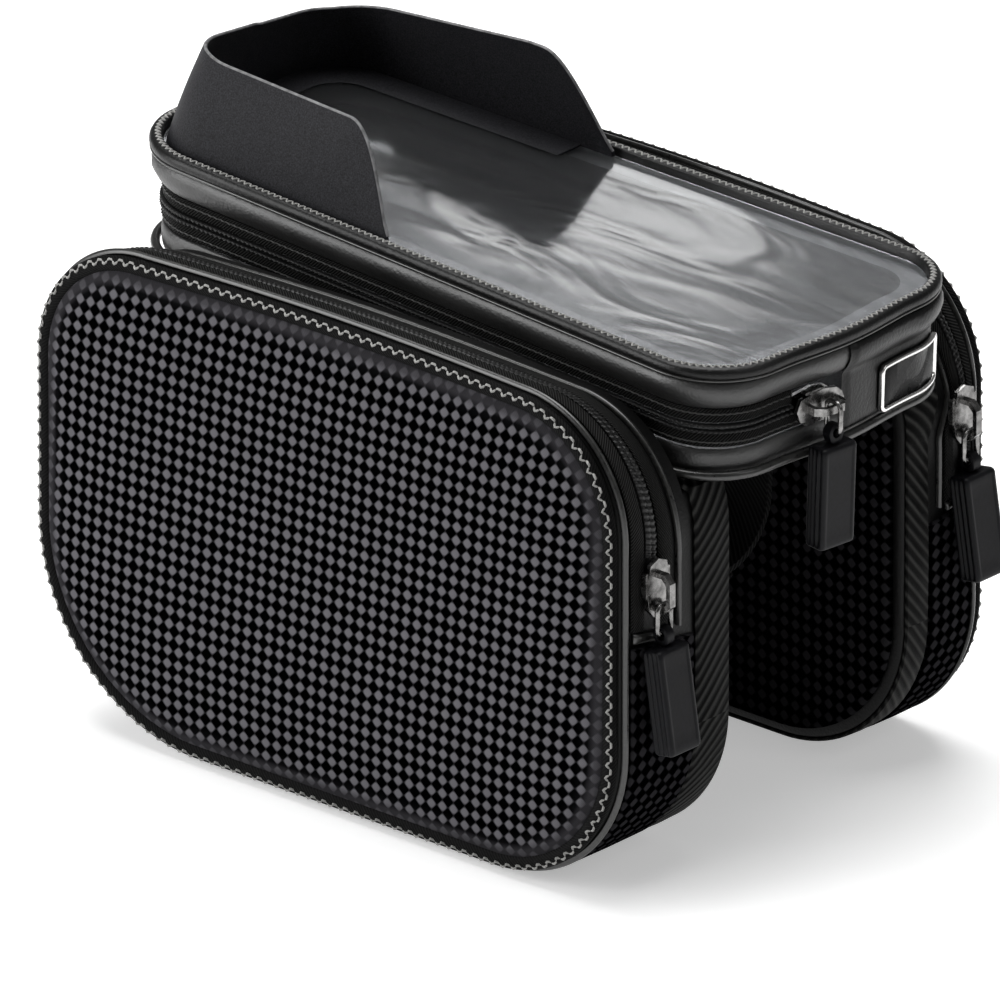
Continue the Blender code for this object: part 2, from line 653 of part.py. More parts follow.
def zip_pull(name, place, parent, travel, outward, hang_beside):
    """A slider at a place, with its link round or through the crown and its puller on the link."""
    width = outward.cross(travel)
    mount = empty(f"{name}_slider_axis", parent=parent)
    turned = Matrix((travel, width, outward)).transposed().to_4x4()
    mount.matrix_local = Matrix.Translation(Vector(place) * MM) @ turned
    add_object(f"{name}_slider", slider_shape, metal, mount)
    up = Vector((0, 0, 1))
    if hang_beside:
        pin = Vector(place) + outward * (CROWN_TOP - CROWN_BAR / 2)
        wire_rise = (CROWN_WIDTH + LINK_WIRE) / 2 + GAP
        turn = Matrix((travel, -outward, up)).transposed().to_4x4()
        puller_shape, lean = puller_through, Matrix((outward, -travel, up)).transposed().to_4x4()
    else:
        pin = Vector(place) + outward * (CROWN_TOP - CROWN_BAR + SLIDER_TOP) / 2
        pin -= travel * (CROWN_LENGTH / 2 - CROWN_BAR - GAP - LINK_WIRE / 2)
        wire_rise = 0
        turn = Matrix.Identity(4)
        puller_shape, lean = puller_across, Matrix.Rotation(math.radians(-PULLER_LEAN), 4, "Y")
    link_axis = empty(f"{name}_link_axis", parent=parent)
    link_axis.matrix_local = Matrix.Translation(pin * MM) @ turn
    link = add_object(f"{name}_pull_link", link_shape, metal, link_axis)
    link.location = up * wire_rise * MM
    puller_axis = empty(f"{name}_puller_axis", parent=parent)
    hang = pin + up * (wire_rise - LINK_HEIGHT + LINK_WIRE)
    puller_axis.matrix_local = Matrix.Translation(hang * MM) @ lean
    add_object(f"{name}_puller", puller_shape, rubber, puller_axis)


for label, side, pouch_depth in (("near_pouch", -1, NEAR_DEPTH), ("far_pouch", 1, FAR_DEPTH)):
    pouch = Pouch(label, side, pouch_depth)

    # Pouch body: the gusset round the filled pouch, stepped down where the tray sits on it
    body_rings = []
    loop_marks = pouch_stations(0, 8)[:-1]
    for depth, height in ((0.6, -EDGE_ROUND), (0.9, -1.2), (2.0, 0), (POUCH_ZIP_DEPTH, 0),
                          (INNER_PIPING_DEPTH, 0), (TOP_DEPTH, 0)):
        body_rings.append([pouch.point(t, depth, height) for t in loop_marks])
    for drop_to_shelf in (False, True):
        ring = []
        for t in loop_marks:
            x, y, z = pouch.shelf(t, SHELF_DEPTH, 0) if drop_to_shelf else pouch.point(t, SHELF_DEPTH, 0)
            over_tray = z > under_tray(x) - 4 or drop_to_shelf and pouch.point(t, SHELF_DEPTH, 0)[2] > z
            ring.append((x, side * max(abs(y), tray_side(x)) if over_tray else y, z))
        body_rings.append(ring)
    for depth, height in ((NEAR_DEPTH - 1.2, 0), (NEAR_DEPTH - 0.2, -1.5)):
        body_rings.append([pouch.shelf(t, depth, height) for t in loop_marks])
    body = skin(body_rings, False)
    zip_y = pouch.y(POUCH_ZIP_DEPTH)
    slot_low = POUCH_SLIDER_Z - SLIDER_LENGTH / 2 - 1
    slot_high = POUCH_SLIDER_Z + SLIDER_LENGTH / 2 + SLIDER_TRAVEL + 2.5
    slot_half = SLIDER_WIDTH / 2
    slot = extrude([(zip_y - slot_half, slot_low), (zip_y + slot_half, slot_low),
                    (zip_y + slot_half, slot_high), (zip_y - slot_half, slot_high)],
                   POUCH_REAR_X - 2.6, POUCH_REAR_X + 5, lambda u, v, w: (w, u, v))
    pouch.add("body", joined(f"{label}_body", [body], [slot]), leather)

    # Front panel: a moulded panel in the dotted weave, crowned outwards
    crown_steps = [(0.3, -PANEL_EDGE), (-1.4, -PANEL_EDGE), (-2.6, -PANEL_EDGE - 2.2),
                   (-0.82 * PANEL_CROWN, -14), (-PANEL_CROWN, -27)]
    panel_sections = [[pouch.point(t, 0, h)[:1] + (side * (pouch.outer - d),) + pouch.point(t, 0, h)[2:]
                       for t in loop_marks] for d, h in crown_steps]
    pouch.add("front_panel", skin(panel_sections, False), weave)

    # Panel binding: the stitched cord round the panel's edge
    cord = [(-0.9 + CORD * math.cos(a) * 0.85, -PANEL_EDGE + GAP + CORD + CORD * math.sin(a))
            for a in [math.tau * i / 6 for i in range(6)]]
    pouch.add("panel_binding", pouch.loop(cord), binding_mat)

    # Piping at the gusset's outer seam, all round, and at the zipper's inner seam, over the top
    half_bead = [(-1.0, GAP), (-0.6, PIPING), (0.2, POUCH_FLOOR), (0.9, PIPING), (1.1, GAP)]
    pouch.add("outer_piping", pouch.loop([(PIPING_DEPTH + d + 0.5, h) for d, h in half_bead]), binding_mat)
    rear_end, front_end = side_height(ZIP_END_Z)
    inner_bead = [(INNER_PIPING_DEPTH + d, h) for d, h in half_bead]
    pouch.add("inner_piping", pouch.run(inner_bead, rear_end, front_end), binding_mat)

    # Zipper: two tapes with the coil between them, from the slider's travel round to the front end
    coil_half = COIL_BULGE + 0.4
    inner_edge = POUCH_ZIP_DEPTH - coil_half - 0.6
    tape_a = [(POUCH_ZIP_DEPTH - POUCH_TAPE_HALF, GAP), (inner_edge, GAP), (inner_edge, GAP + TAPE),
              (POUCH_ZIP_DEPTH - POUCH_TAPE_HALF, GAP + TAPE)]
    tape_b = [(2 * POUCH_ZIP_DEPTH - d, h) for d, h in tape_a]
    pouch.add("zipper_tape_outer", pouch.run(tape_a, rear_end, front_end), tape_mat)
    pouch.add("zipper_tape_inner", pouch.run(tape_b, rear_end, front_end), tape_mat)
    coil = [(POUCH_ZIP_DEPTH - coil_half, GAP), (POUCH_ZIP_DEPTH - coil_half, 1.4), (POUCH_ZIP_DEPTH, 1.1),
            (POUCH_ZIP_DEPTH + coil_half, 1.4), (POUCH_ZIP_DEPTH + coil_half, GAP)]
    coil_start = side_height(POUCH_SLIDER_Z + SLIDER_LENGTH / 2 + ZIP_MOUTH)[0]
    pouch.add("zipper_coil", pouch.run(coil, coil_start, front_end), coil_mat)

    # Bar tacks: a short moulded bar at each end of the zipper
    bar_half = POUCH_TAPE_HALF - 1
    for end, t0, t1 in (("rear", rear_end - 0.06, rear_end - 0.01),
                        ("front", front_end + 0.01, front_end + 0.06)):
        bar = [(POUCH_ZIP_DEPTH - bar_half, GAP), (POUCH_ZIP_DEPTH + bar_half, GAP),
               (POUCH_ZIP_DEPTH + bar_half, POUCH_FLOOR), (POUCH_ZIP_DEPTH - bar_half, POUCH_FLOOR)]
        pouch.add(f"zipper_stop_{end}", pouch.run(bar, t0, t1), binding_mat)

    # Lower gusset: the dotted weave round the bottom, between the zipper's ends
    lower = [(PIPING_DEPTH + 2.2, GAP), (BINDING_DEPTH - 2 * GAP, GAP),
             (BINDING_DEPTH - 2 * GAP, POUCH_FLOOR), (PIPING_DEPTH + 2.2, POUCH_FLOOR)]
    pouch.add("lower_gusset", pouch.run(lower, front_end + 0.08, rear_end + 8 - 0.08), weave)

    # Inner binding: the twill tape round the edge that faces the tube
    twill = [(BINDING_DEPTH, GAP), (NEAR_DEPTH - 1.2, GAP), (NEAR_DEPTH - 1.2, GAP + BINDING),
             (BINDING_DEPTH, GAP + BINDING)]
    pouch.add("inner_binding", pouch.loop(twill, pouch.shelf), webbing)

    # Back panel: the dotted weave that faces the tube
    back = [[(x, side * (TUNNEL_HALF - out), z)
             for x, _, z in (pouch.shelf(t, NEAR_DEPTH, h) for t in loop_marks)]
            for out, h in ((0.1, -3), (0.9, -3), (1.3, -5))]
    pouch.add("back_panel", skin(back, False), weave)

    # Slider, link and puller on the rear side: the far one stands at the top of its straight run
    slider_z = POUCH_SLIDER_Z + (SLIDER_TRAVEL if side > 0 else 0)
    zip_pull(label, (POUCH_REAR_X, zip_y, slider_z), pouch.frame, Vector((0, 0, 1)), Vector((1, 0, 0)),
             False)

# Slider, link and puller on the tray's rear wall
slide_from = Vector((*rim(rear_wall(TOP_SLIDER_Y), tape_in), 0))
slide_to = Vector((*rim(rear_wall(TOP_SLIDER_Y - SLIDER_TRAVEL), tape_in), 0))
slide = (slide_to - slide_from).normalized()
away = Vector((-slide.y, slide.x, 0))
zip_pull("top", (slide_from.x, slide_from.y, ZIP_HEIGHT), top_bag, slide, away, True)

# Centre the bag over its origin, with its base at the floor
bpy.context.view_layer.update()
corners = [obj.matrix_world @ Vector(c) for obj in bpy.data.objects if obj.type == "MESH"
           for c in obj.bound_box]
centre_x = (min(c.x for c in corners) + max(c.x for c in corners)) / 2
centre_y = (min(c.y for c in corners) + max(c.y for c in corners)) / 2
bag.location = (-centre_x, -centre_y, -min(c.z for c in corners))
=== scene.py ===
import math

import bmesh
import bpy
import numpy as np
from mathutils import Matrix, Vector


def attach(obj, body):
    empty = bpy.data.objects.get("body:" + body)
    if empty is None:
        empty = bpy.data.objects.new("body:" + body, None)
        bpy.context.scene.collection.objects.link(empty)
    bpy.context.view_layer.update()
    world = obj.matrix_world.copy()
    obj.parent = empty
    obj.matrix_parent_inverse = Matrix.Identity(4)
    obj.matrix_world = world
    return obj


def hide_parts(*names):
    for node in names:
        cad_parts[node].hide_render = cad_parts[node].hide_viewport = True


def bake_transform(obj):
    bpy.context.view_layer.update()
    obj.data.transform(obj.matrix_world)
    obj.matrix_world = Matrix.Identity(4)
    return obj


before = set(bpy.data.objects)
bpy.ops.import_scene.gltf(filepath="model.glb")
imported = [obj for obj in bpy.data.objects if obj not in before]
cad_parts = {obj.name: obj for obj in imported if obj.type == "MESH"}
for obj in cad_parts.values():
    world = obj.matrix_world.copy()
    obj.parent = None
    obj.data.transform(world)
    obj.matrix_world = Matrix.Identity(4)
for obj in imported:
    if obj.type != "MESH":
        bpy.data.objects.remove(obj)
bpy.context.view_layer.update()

# Side pouches, part 1: the gusset. Each pouch is a moulded outer panel and a leather gusset round it that carries
# the zipper. The gusset is cut as one long strip and sewn to the panel inside out, so its seams end as soft rolls.
SHIFT = np.array([-5.862, 6.5, 0.0])
POUCH_FRONT, POUCH_REAR, POUCH_FLOOR, POUCH_TOP = -90.4, 91.6, 1.5, 124.5
TOP_RADIUS, FRONT_RADIUS, REAR_RADIUS = 31.0, 50.0, 38.0
TUNNEL_HALF, NEAR_DEPTH = 31.0, 40.0
RIM_DEPTH, ZIP_DEPTH, SEAM_DEPTH, TOP_DEPTH, SHELF_DEPTH = 2.0, 10.8, 20.8, 24.9, 25.4
SQUEEZE_FROM, SQUEEZE_RISE = 85.5, 9.0
BAG_BASE, BAG_TILT = 103.0, math.radians(2.0)


def in_place(points):
    """Bag millimetres to the frame's metres: moved by SHIFT, then times 0.001."""
    return (np.asarray(points) + SHIFT) * 0.001


def surface(name, rows, around=True, along=False, ends=True, laid=None, sharp=48):
    """A mesh over the points rows[i, j], with i along the piece and j round its section.
    Its UV is the length along and the length across in millimetres, or the laid pair of arrays where it is given."""
    rows = np.asarray(rows, float)
    m, n = rows.shape[:2]
    i, j = np.meshgrid(np.arange(m if along else m - 1), np.arange(n if around else n - 1), indexing="ij")
    quads = np.stack([i * n + j, (i + 1) % m * n + j, (i + 1) % m * n + (j + 1) % n, i * n + (j + 1) % n], -1)
    faces = quads.reshape(-1, 4).tolist()
    if ends and around and not along:
        faces += [list(range(n)), list(range((m - 1) * n, m * n))]
    mesh = bpy.data.meshes.new(name)
    mesh.from_pydata(in_place(rows).reshape(-1, 3).tolist(), [], faces)
    steps_u = np.linalg.norm(np.roll(rows, -1, 0) - rows, axis=2).mean(1)
    steps_v = np.linalg.norm(np.roll(rows, -1, 1) - rows, axis=2).mean(0)
    u = np.concatenate([[0], np.cumsum(steps_u)])
    v = np.concatenate([[0], np.cumsum(steps_v)])
    if laid is None:
        corners = np.stack([np.stack([u[i], v[j]], -1), np.stack([u[i + 1], v[j]], -1),
                            np.stack([u[i + 1], v[j + 1]], -1), np.stack([u[i], v[j + 1]], -1)], 2).reshape(-1, 2)
        if len(faces) > len(quads.reshape(-1, 4)):
            tail = np.stack([np.zeros(n), v[:n]], -1)
            corners = np.concatenate([corners, tail, tail])
    else:
        flat = np.stack([np.broadcast_to(a, (m, n)) for a in laid], -1).reshape(-1, 2)
        corners = flat[np.concatenate([np.asarray(f) for f in faces])]
    layer = mesh.uv_layers.new(name="cloth")
    layer.data.foreach_set("uv", corners.astype(np.float32).ravel())
    bm = bmesh.new()
    bm.from_mesh(mesh)
    bmesh.ops.remove_doubles(bm, verts=bm.verts, dist=2e-6)
    bmesh.ops.recalc_face_normals(bm, faces=bm.faces)
    bm.to_mesh(mesh)
    bm.free()
    mesh.shade_smooth()
    mesh.set_sharp_from_angle(angle=math.radians(sharp))
    piece = bpy.data.objects.new(name, mesh)
    bpy.context.scene.collection.objects.link(piece)
    return piece


def dress(piece, mat, slot, body, *nodes):
    """Gives a finished piece its material, sets it on its body and puts it in place of its plain nodes. Its slot is
    not used.
    """
    piece.data.materials.clear()
    piece.data.materials.append(mat)
    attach(piece, body)
    if nodes:
        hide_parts(*nodes)
    return piece


def pouch_outline(t, out, drop=0.0):
    """Side view of a pouch as x and z: straight sides, an arched top and four round corners, grown by out, with its
    top lowered by drop. t counts eight runs, up the rear side first; each odd run is a corner of 90 degrees."""
    t, out, drop = np.broadcast_arrays(np.asarray(t, float) % 8, out, drop)
    run = np.floor(t).astype(int)
    f = t - run
    x0, x1, z0, z1 = POUCH_FRONT - out, POUCH_REAR + out, POUCH_FLOOR - out, POUCH_TOP + out - drop
    top, front, rear = TOP_RADIUS + out, FRONT_RADIUS + out, REAR_RADIUS + out
    cx = np.stack([x1 - top, x0 + top, x0 + front, x1 - rear])
    cz = np.stack([z1 - top, z1 - top, z0 + front, z0 + rear])
    radius = np.stack([top, top, front, rear])
    k = run // 2

    def on_corner(which, degrees):
        pick = [np.choose(which, a) for a in (cx, cz, radius)]
        return pick[0] + pick[2] * np.cos(np.radians(degrees)), pick[1] + pick[2] * np.sin(np.radians(degrees))

    bend = on_corner(k, 90.0 * k + 90.0 * f)
    start, end = on_corner((k - 1) % 4, 90.0 * k), on_corner(k, 90.0 * k)
    arch = np.where(run == 2, 1.5 * np.sin(np.pi * f), 0.0)
    x = np.where(run % 2 == 1, bend[0], start[0] * (1 - f) + end[0] * f)
    z = np.where(run % 2 == 1, bend[1], start[1] * (1 - f) + end[1] * f + arch)
    return x, z


def even_marks(outline, start, end, step):
    """Values of t from start to end that are about step millimetres apart on an outline."""
    t = np.linspace(start, end, 4000)
    points = np.stack(outline(t), -1)
    length = np.concatenate([[0], np.cumsum(np.linalg.norm(np.diff(points, axis=0), axis=1))])
    count = max(2, int(round(length[-1] / step)) + 1)
    return np.interp(np.linspace(0, length[-1], count), length, t)


def under_tray(x):
    """The height of the tray's underside at x: the tray's base, tilted."""
    return BAG_BASE - x * math.tan(BAG_TILT)


def tray_side(x):
    """Half the tray's width with its piping at x: it widens from 40 to 46 mm, less the lip, plus the piping."""
    return 40.0 + 6.0 * np.clip((x + 75.0) / 156.0, 0, 1) - 0.6


def gusset_point(side, outer, t, depth, height, shelf=False):
    """A point over a pouch's gusset: run count, depth in from the outer face and height over it. The top falls by
    6.5 mm to the inner seam, and a shelf is cut off just under the tray. A thinner pouch is squeezed behind its
    rim, and more so where it rises beside the tray. Long low waves soften the cloth."""
    t, depth, height = np.broadcast_arrays(np.asarray(t, float), depth, height)
    drop = 6.5 * np.clip(depth / SEAM_DEPTH, 0, 1) ** 1.3
    wave = 0.22 * np.sin(5.1 * t + 0.35 * depth) * np.sin(0.13 * depth + 1.7 * t)
    wave = wave * np.clip((depth - 4) / 6, 0, 1) * np.clip((38 - depth) / 6, 0, 1) * np.clip(height + 2, 0, 1)
    x, z = pouch_outline(t, height + np.where((t % 8 > 5.2) & (t % 8 < 7.8), 0, wave), drop)
    room = outer - TUNNEL_HALF
    low = (room - RIM_DEPTH) / (NEAR_DEPTH - RIM_DEPTH)
    high = 1 - (NEAR_DEPTH - room) / (TOP_DEPTH - RIM_DEPTH)
    squeeze = low + (high - low) * np.clip((z - SQUEEZE_FROM) / SQUEEZE_RISE, 0, 1)
    turn = (TOP_DEPTH - RIM_DEPTH) * squeeze
    rest = (room - RIM_DEPTH - turn) / (NEAR_DEPTH - TOP_DEPTH)
    y = side * (outer - np.minimum(depth, RIM_DEPTH) - np.clip(depth - RIM_DEPTH, 0, TOP_DEPTH - RIM_DEPTH) * squeeze
                - np.clip(depth - TOP_DEPTH, 0, None) * rest)
    if shelf:
        z = np.minimum(z, under_tray(x) - 1.8 + height)
    return np.stack([x, y, z], -1)


def material(name, colour, roughness, metallic=0.0, specular=0.5):
    """A Principled material in one colour, and its shader."""
    mat = bpy.data.materials.new(name)
    mat.use_nodes = True
    shader = mat.node_tree.nodes["Principled BSDF"]
    shader.inputs["Base Color"].default_value = (*colour, 1.0)
    shader.inputs["Roughness"].default_value = roughness
    shader.inputs["Metallic"].default_value = metallic
    shader.inputs["Specular IOR Level"].default_value = specular
    return mat, shader


def node(mat, kind, settings=None, **inputs):
    """Adds a shader node. Each input is a socket to link or a value to set; its name is written with underscores, or
    as n and a number."""
    made = mat.node_tree.nodes.new("ShaderNode" + kind)
    for key, value in (settings or {}).items():
        setattr(made, key, value)
    for key, value in inputs.items():
        socket = made.inputs[int(key[1:])] if key[1:].isdigit() else made.inputs[key.replace("_", " ")]
        if isinstance(value, bpy.types.NodeSocket):
            mat.node_tree.links.new(value, socket)
        else:
            socket.default_value = value
    return made


def maths(mat, operation, a, b=0.0):
    """One sum on two numbers or sockets."""
    return node(mat, "Math", {"operation": operation}, n0=a, n1=b).outputs[0]


def bump(mat, shader, height, strength, distance):
    """Raises a surface by a height from 0 to 1, over a distance in metres."""
    made = node(mat, "Bump", Strength=strength, Distance=distance, Height=height)
    mat.node_tree.links.new(made.outputs["Normal"], shader.inputs["Normal"])
    return made


def shade(mat, shader, socket, value, low, high, dark=None, light=None):
    """Lets a value from 0 to 1 drive roughness between low and high, or a colour between dark and light."""
    if dark is None:
        made = node(mat, "MapRange", Value=value, To_Min=low, To_Max=high).outputs[0]
    else:
        made = node(mat, "Mix", {"data_type": "RGBA"}, n0=node(mat, "MapRange", Value=value, From_Min=low,
                    From_Max=high).outputs[0], n6=(*dark, 1), n7=(*light, 1)).outputs[2]
    mat.node_tree.links.new(made, shader.inputs[socket])


def leather(name, colour, roughness, specular=0.2):
    """Pressed leather: small rounded cells of about 0.8 mm, fine pores, and patches that are more or less polished."""
    mat, shader = material(name, colour, roughness, specular=specular)
    where = node(mat, "TexCoord").outputs["Object"]
    cells = node(mat, "TexVoronoi", {"feature": "SMOOTH_F1"}, Vector=where, Scale=1250.0, Smoothness=0.35)
    pores = node(mat, "TexNoise", Vector=where, Scale=3800.0, Detail=3.0)
    cloud = node(mat, "TexNoise", Vector=where, Scale=55.0, Detail=3.0).outputs[0]
    height = maths(mat, "ADD", maths(mat, "MULTIPLY", cells.outputs["Distance"], -0.75),
                   maths(mat, "MULTIPLY", pores.outputs[0], 0.35))
    shade(mat, shader, "Roughness", cloud, roughness - 0.1, roughness + 0.14)
    shade(mat, shader, "Base Color", cloud, 0.3, 0.75, tuple(0.7 * c for c in colour), tuple(1.5 * c for c in colour))
    bump(mat, shader, height, 0.4, 0.00022)
    return mat


gusset_leather = leather("gusset leather", (0.0034, 0.0034, 0.0034), 0.46)
POUCHES = [("near_pouch", -1, 71.0), ("far_pouch", 1, 58.0)]
GUSSET = [(0.6, -4.5), (0.7, -2.0), (1.0, -0.8), (2.0, 0), (4, 0), (7, 0), (10.8, 0), (14, 0), (17.5, 0), (20.8, 0),
          (TOP_DEPTH, 0)]
around_pouch = even_marks(lambda t: pouch_outline(t, 0.0), 0, 8, 2.2)[:-1]
for name, side, outer in POUCHES:
    rings = [gusset_point(side, outer, around_pouch, depth, height) for depth, height in GUSSET]
    for drop_down in (False, True):
        ring = gusset_point(side, outer, around_pouch, SHELF_DEPTH, 0.0, drop_down)
        high = gusset_point(side, outer, around_pouch, SHELF_DEPTH, 0.0)[:, 2]
        over = high > under_tray(ring[:, 0]) - 4
        ring[:, 1] = side * np.where(over, np.maximum(abs(ring[:, 1]), tray_side(ring[:, 0])), abs(ring[:, 1]))
        rings.append(ring)
    rings += [gusset_point(side, outer, around_pouch, depth, height, True)
              for depth, height in ((32, 0), (38.6, 0), (39.4, -0.6), (39.7, -2.4), (39.7, -6))]
    dress(surface(f"{name}_gusset", rings), gusset_leather, "leather", "bag", f"{name}_body")


# Side pouches, part 2: the moulded outer panels, the lower gussets and the back panels. They are foam board faced
# with a woven cloth of grey dots on black. The front panel is pressed into a shallow crown.
DOT_PITCH = 3.5
# The straight rear and front runs of the outline where the zipper is, and the zipper's two ends on them.
REAR_RUN, FRONT_RUN = 51.227, 39.227
REAR_END, FRONT_END = 29.5 / REAR_RUN, 4 + 21.727 / FRONT_RUN


def dotted_weave(name, ground, light):
    """Cloth of round grey floats on black. With p the pitch, a point is grey where cos(2 pi x / p) plus
    cos(2 pi y / p) is high, so that grey dots and black dots alternate. The floats stand up a little."""
    mat, shader = material(name, light, 0.6, specular=0.0)
    flat = node(mat, "TexCoord").outputs["UV"]
    cloth = node(mat, "SeparateXYZ", Vector=flat)
    waves = [maths(mat, "COSINE", maths(mat, "MULTIPLY", cloth.outputs[axis], 2 * math.pi / DOT_PITCH))
             for axis in ("X", "Y")]
    level = maths(mat, "ADD", *waves)
    grey = node(mat, "MapRange", {"interpolation_type": "SMOOTHSTEP"}, Value=level, From_Min=-0.2, From_Max=0.95)
    strands = node(mat, "TexWave", {"bands_direction": "DIAGONAL"}, Vector=flat, Scale=1.1, Distortion=0.6,
                   Detail=1.0).outputs["Fac"]
    cloud = node(mat, "TexNoise", Vector=flat, Scale=0.09, Detail=2.0).outputs[0]
    worn = node(mat, "Attribute", {"attribute_name": "moulded"}).outputs["Fac"]
    soft = node(mat, "Mix", n0=worn, n2=grey.outputs[0], n3=0.3).outputs[0]
    tone = maths(mat, "MULTIPLY", soft,
                 maths(mat, "ADD", 0.72, maths(mat, "ADD", maths(mat, "MULTIPLY", strands, 0.14),
                                               maths(mat, "MULTIPLY", cloud, 0.28))))
    shade(mat, shader, "Base Color", tone, 0.0, 1.0, ground, light)
    shade(mat, shader, "Roughness", grey.outputs[0], 0.66, 0.5)
    relief = maths(mat, "ADD", node(mat, "MapRange", Value=level, From_Min=-1.6, From_Max=2.0).outputs[0],
                   maths(mat, "MULTIPLY", strands, 0.1))
    bump(mat, shader, relief, 0.55, 0.0004)
    return mat


weave = dotted_weave("dotted weave", (0.0004, 0.0004, 0.0005), (0.128, 0.124, 0.136))
# The gussets and back panels are faced with the same cloth as the front panel. This darker copy of it is painted shade
# for faces turned away from the light.
shaded_side_weave = dotted_weave("dotted weave, painted shade on sides", (0.0003, 0.0003, 0.0004), (0.03, 0.029, 0.032))
CROWN = [(-0.3, 3.2), (-0.1, 2.7), (0.9, 2.6), (1.6, 3.0), (2.2, 3.8), (2.65, 5.0), (3.05, 6.9), (3.45, 10.0),
         (3.8, 14.0), (4.15, 18.5), (4.4, 22.5), (4.55, 26.5), (4.6, 29.2)]


def face_rings(side, outer, marks, section):
    """Rings on a pouch's outer face: the outline drawn in by inset, at out beyond the face, for each (out, inset)."""
    rings = []
    for out, inset in section:
        x, z = pouch_outline(marks, -inset)
        rings.append(np.stack([x, np.full_like(x, side * (outer + out)), z], -1))
    return np.array(rings)


for name, side, outer in POUCHES:
    rings = face_rings(side, outer, even_marks(lambda t: pouch_outline(t, -2.6), 0, 8, 2.0)[:-1], CROWN)
    laid = (rings[..., 0] - 0.075 * rings[..., 2], rings[..., 2] - 0.06 * rings[..., 0])
    panel = dress(surface(f"{name}_moulded_panel", rings, laid=laid), weave, "dot_weave", "bag", f"{name}_front_panel")
    press = panel.data.attributes.new("moulded", "FLOAT", "POINT")
    height = np.empty(len(panel.data.vertices) * 3)
    panel.data.vertices.foreach_get("co", height)
    crown = side * (height.reshape(-1, 3)[:, 1] * 1000 - SHIFT[1]) - outer
    press.data.foreach_set("value", np.clip((3.1 - crown) / 0.6, 0, 0.75).astype(np.float32))
    marks = even_marks(lambda t: pouch_outline(t, 0.0), FRONT_END + 0.08, REAR_END + 8 - 0.08, 2.5)
    strip = [(3.7, 0.3), (26.0, 0.3), (26.1, 0.9), (25.7, 1.4), (15, 1.5), (4.0, 1.4), (3.6, 0.9)]
    lower = np.stack([gusset_point(side, outer, marks, d, h) for d, h in strip], 1)
    # The lower gusset and the back panel take the darker copy of the weave: painted shade.
    dress(surface(f"{name}_weave_gusset", lower), shaded_side_weave, "dot_weave", "bag", f"{name}_lower_gusset")
    rings = []
    for out, height in ((0.1, -2.6), (0.7, -2.6), (1.15, -3.1), (1.3, -4.2), (1.3, -8), (1.3, -20)):
        ring = gusset_point(side, outer, around_pouch, 40.0, height, True)
        ring[:, 1] = side * (TUNNEL_HALF - out)
        rings.append(ring)
    rings = np.array(rings)
    dress(surface(f"{name}_tube_side_panel", rings, laid=(rings[..., 0], rings[..., 2])), shaded_side_weave, "dot_weave",
          "bag", f"{name}_back_panel")


# Side pouches, part 3: bound edges. A round cord is bound over the panel's edge and sewn with one light thread in a
# zigzag. Thin plastic piping fills the two gusset seams, and a wide ribbed nylon tape closes the tunnel's edge.
def bead_path(line, radius, count=10, across=None):
    """A round bead along the closed or open line of points: a circle of the radius across the line at each."""
    line = np.asarray(line, float)
    ahead = np.roll(line, -1, 0) - np.roll(line, 1, 0)
    if np.linalg.norm(line[0] - line[-1]) > 4 * np.linalg.norm(line[1] - line[0]):
        ahead[0], ahead[-1] = line[1] - line[0], line[-1] - line[-2]
    ahead /= np.linalg.norm(ahead, axis=1, keepdims=True)
    up = np.broadcast_to(np.asarray(across if across is not None else (0.0, 1.0, 0.0)), line.shape)
    side_way = np.cross(up, ahead)
    side_way /= np.linalg.norm(side_way, axis=1, keepdims=True)
    up = np.cross(ahead, side_way)
    a = 2 * np.pi * np.arange(count) / count
    r = np.broadcast_to(np.asarray(radius, float), (len(line),))[:, None, None]
    return line[:, None] + r * (np.cos(a)[None, :, None] * side_way[:, None] + np.sin(a)[None, :, None] * up[:, None])


def whole_stitches(marks, points):
    """The marks resampled to the nearest lower number that is a whole count of stitches, of so many points each."""
    count = len(marks) // points * points
    return np.interp(np.arange(count) * len(marks) / count, np.arange(len(marks)), marks)


def twill(name, colour, pitch, strength, light=None):
    """Woven tape with ribs at 45 degrees: a sine of the length along plus the length across, every pitch mm."""
    mat, shader = material(name, colour, 0.6, specular=0.06)
    cloth = node(mat, "SeparateXYZ", Vector=node(mat, "TexCoord").outputs["UV"])
    lean = maths(mat, "ADD", cloth.outputs["X"], cloth.outputs["Y"])
    rib = maths(mat, "SINE", maths(mat, "MULTIPLY", lean, 2 * math.pi / (pitch * 1.414)))
    rib = maths(mat, "ADD", 0.5, maths(mat, "MULTIPLY", rib, 0.5))
    fine = node(mat, "TexNoise", Vector=node(mat, "TexCoord").outputs["UV"], Scale=2.6, Detail=3.0).outputs[0]
    # The rib crests are painted lighter than the grooves, as a painted highlight along each rib. The fine noise varies
    # the tone at random.
    shade(mat, shader, "Base Color", maths(mat, "MULTIPLY", maths(mat, "POWER", rib, 2.5),
          maths(mat, "ADD", 0.55, maths(mat, "MULTIPLY", fine, 0.8))), 0.0, 1.0, tuple(0.5 * c for c in colour),
          light or tuple(2.2 * c for c in colour))
    shade(mat, shader, "Roughness", fine, 0.5, 0.75)
    bump(mat, shader, maths(mat, "ADD", rib, maths(mat, "MULTIPLY", fine, 0.3)), strength, 0.0003)
    return mat


def thread(name, colour):
    """Twisted polyester thread: fine slanted plies, a little shiny."""
    mat, shader = material(name, colour, 0.45)
    where = node(mat, "TexCoord").outputs["UV"]
    plies = node(mat, "TexWave", {"bands_direction": "DIAGONAL"}, Vector=where, Scale=2.2).outputs["Fac"]
    shade(mat, shader, "Base Color", plies, 0.0, 1.0, tuple(0.55 * c for c in colour), colour)
    bump(mat, shader, plies, 0.5, 0.0001)
    return mat


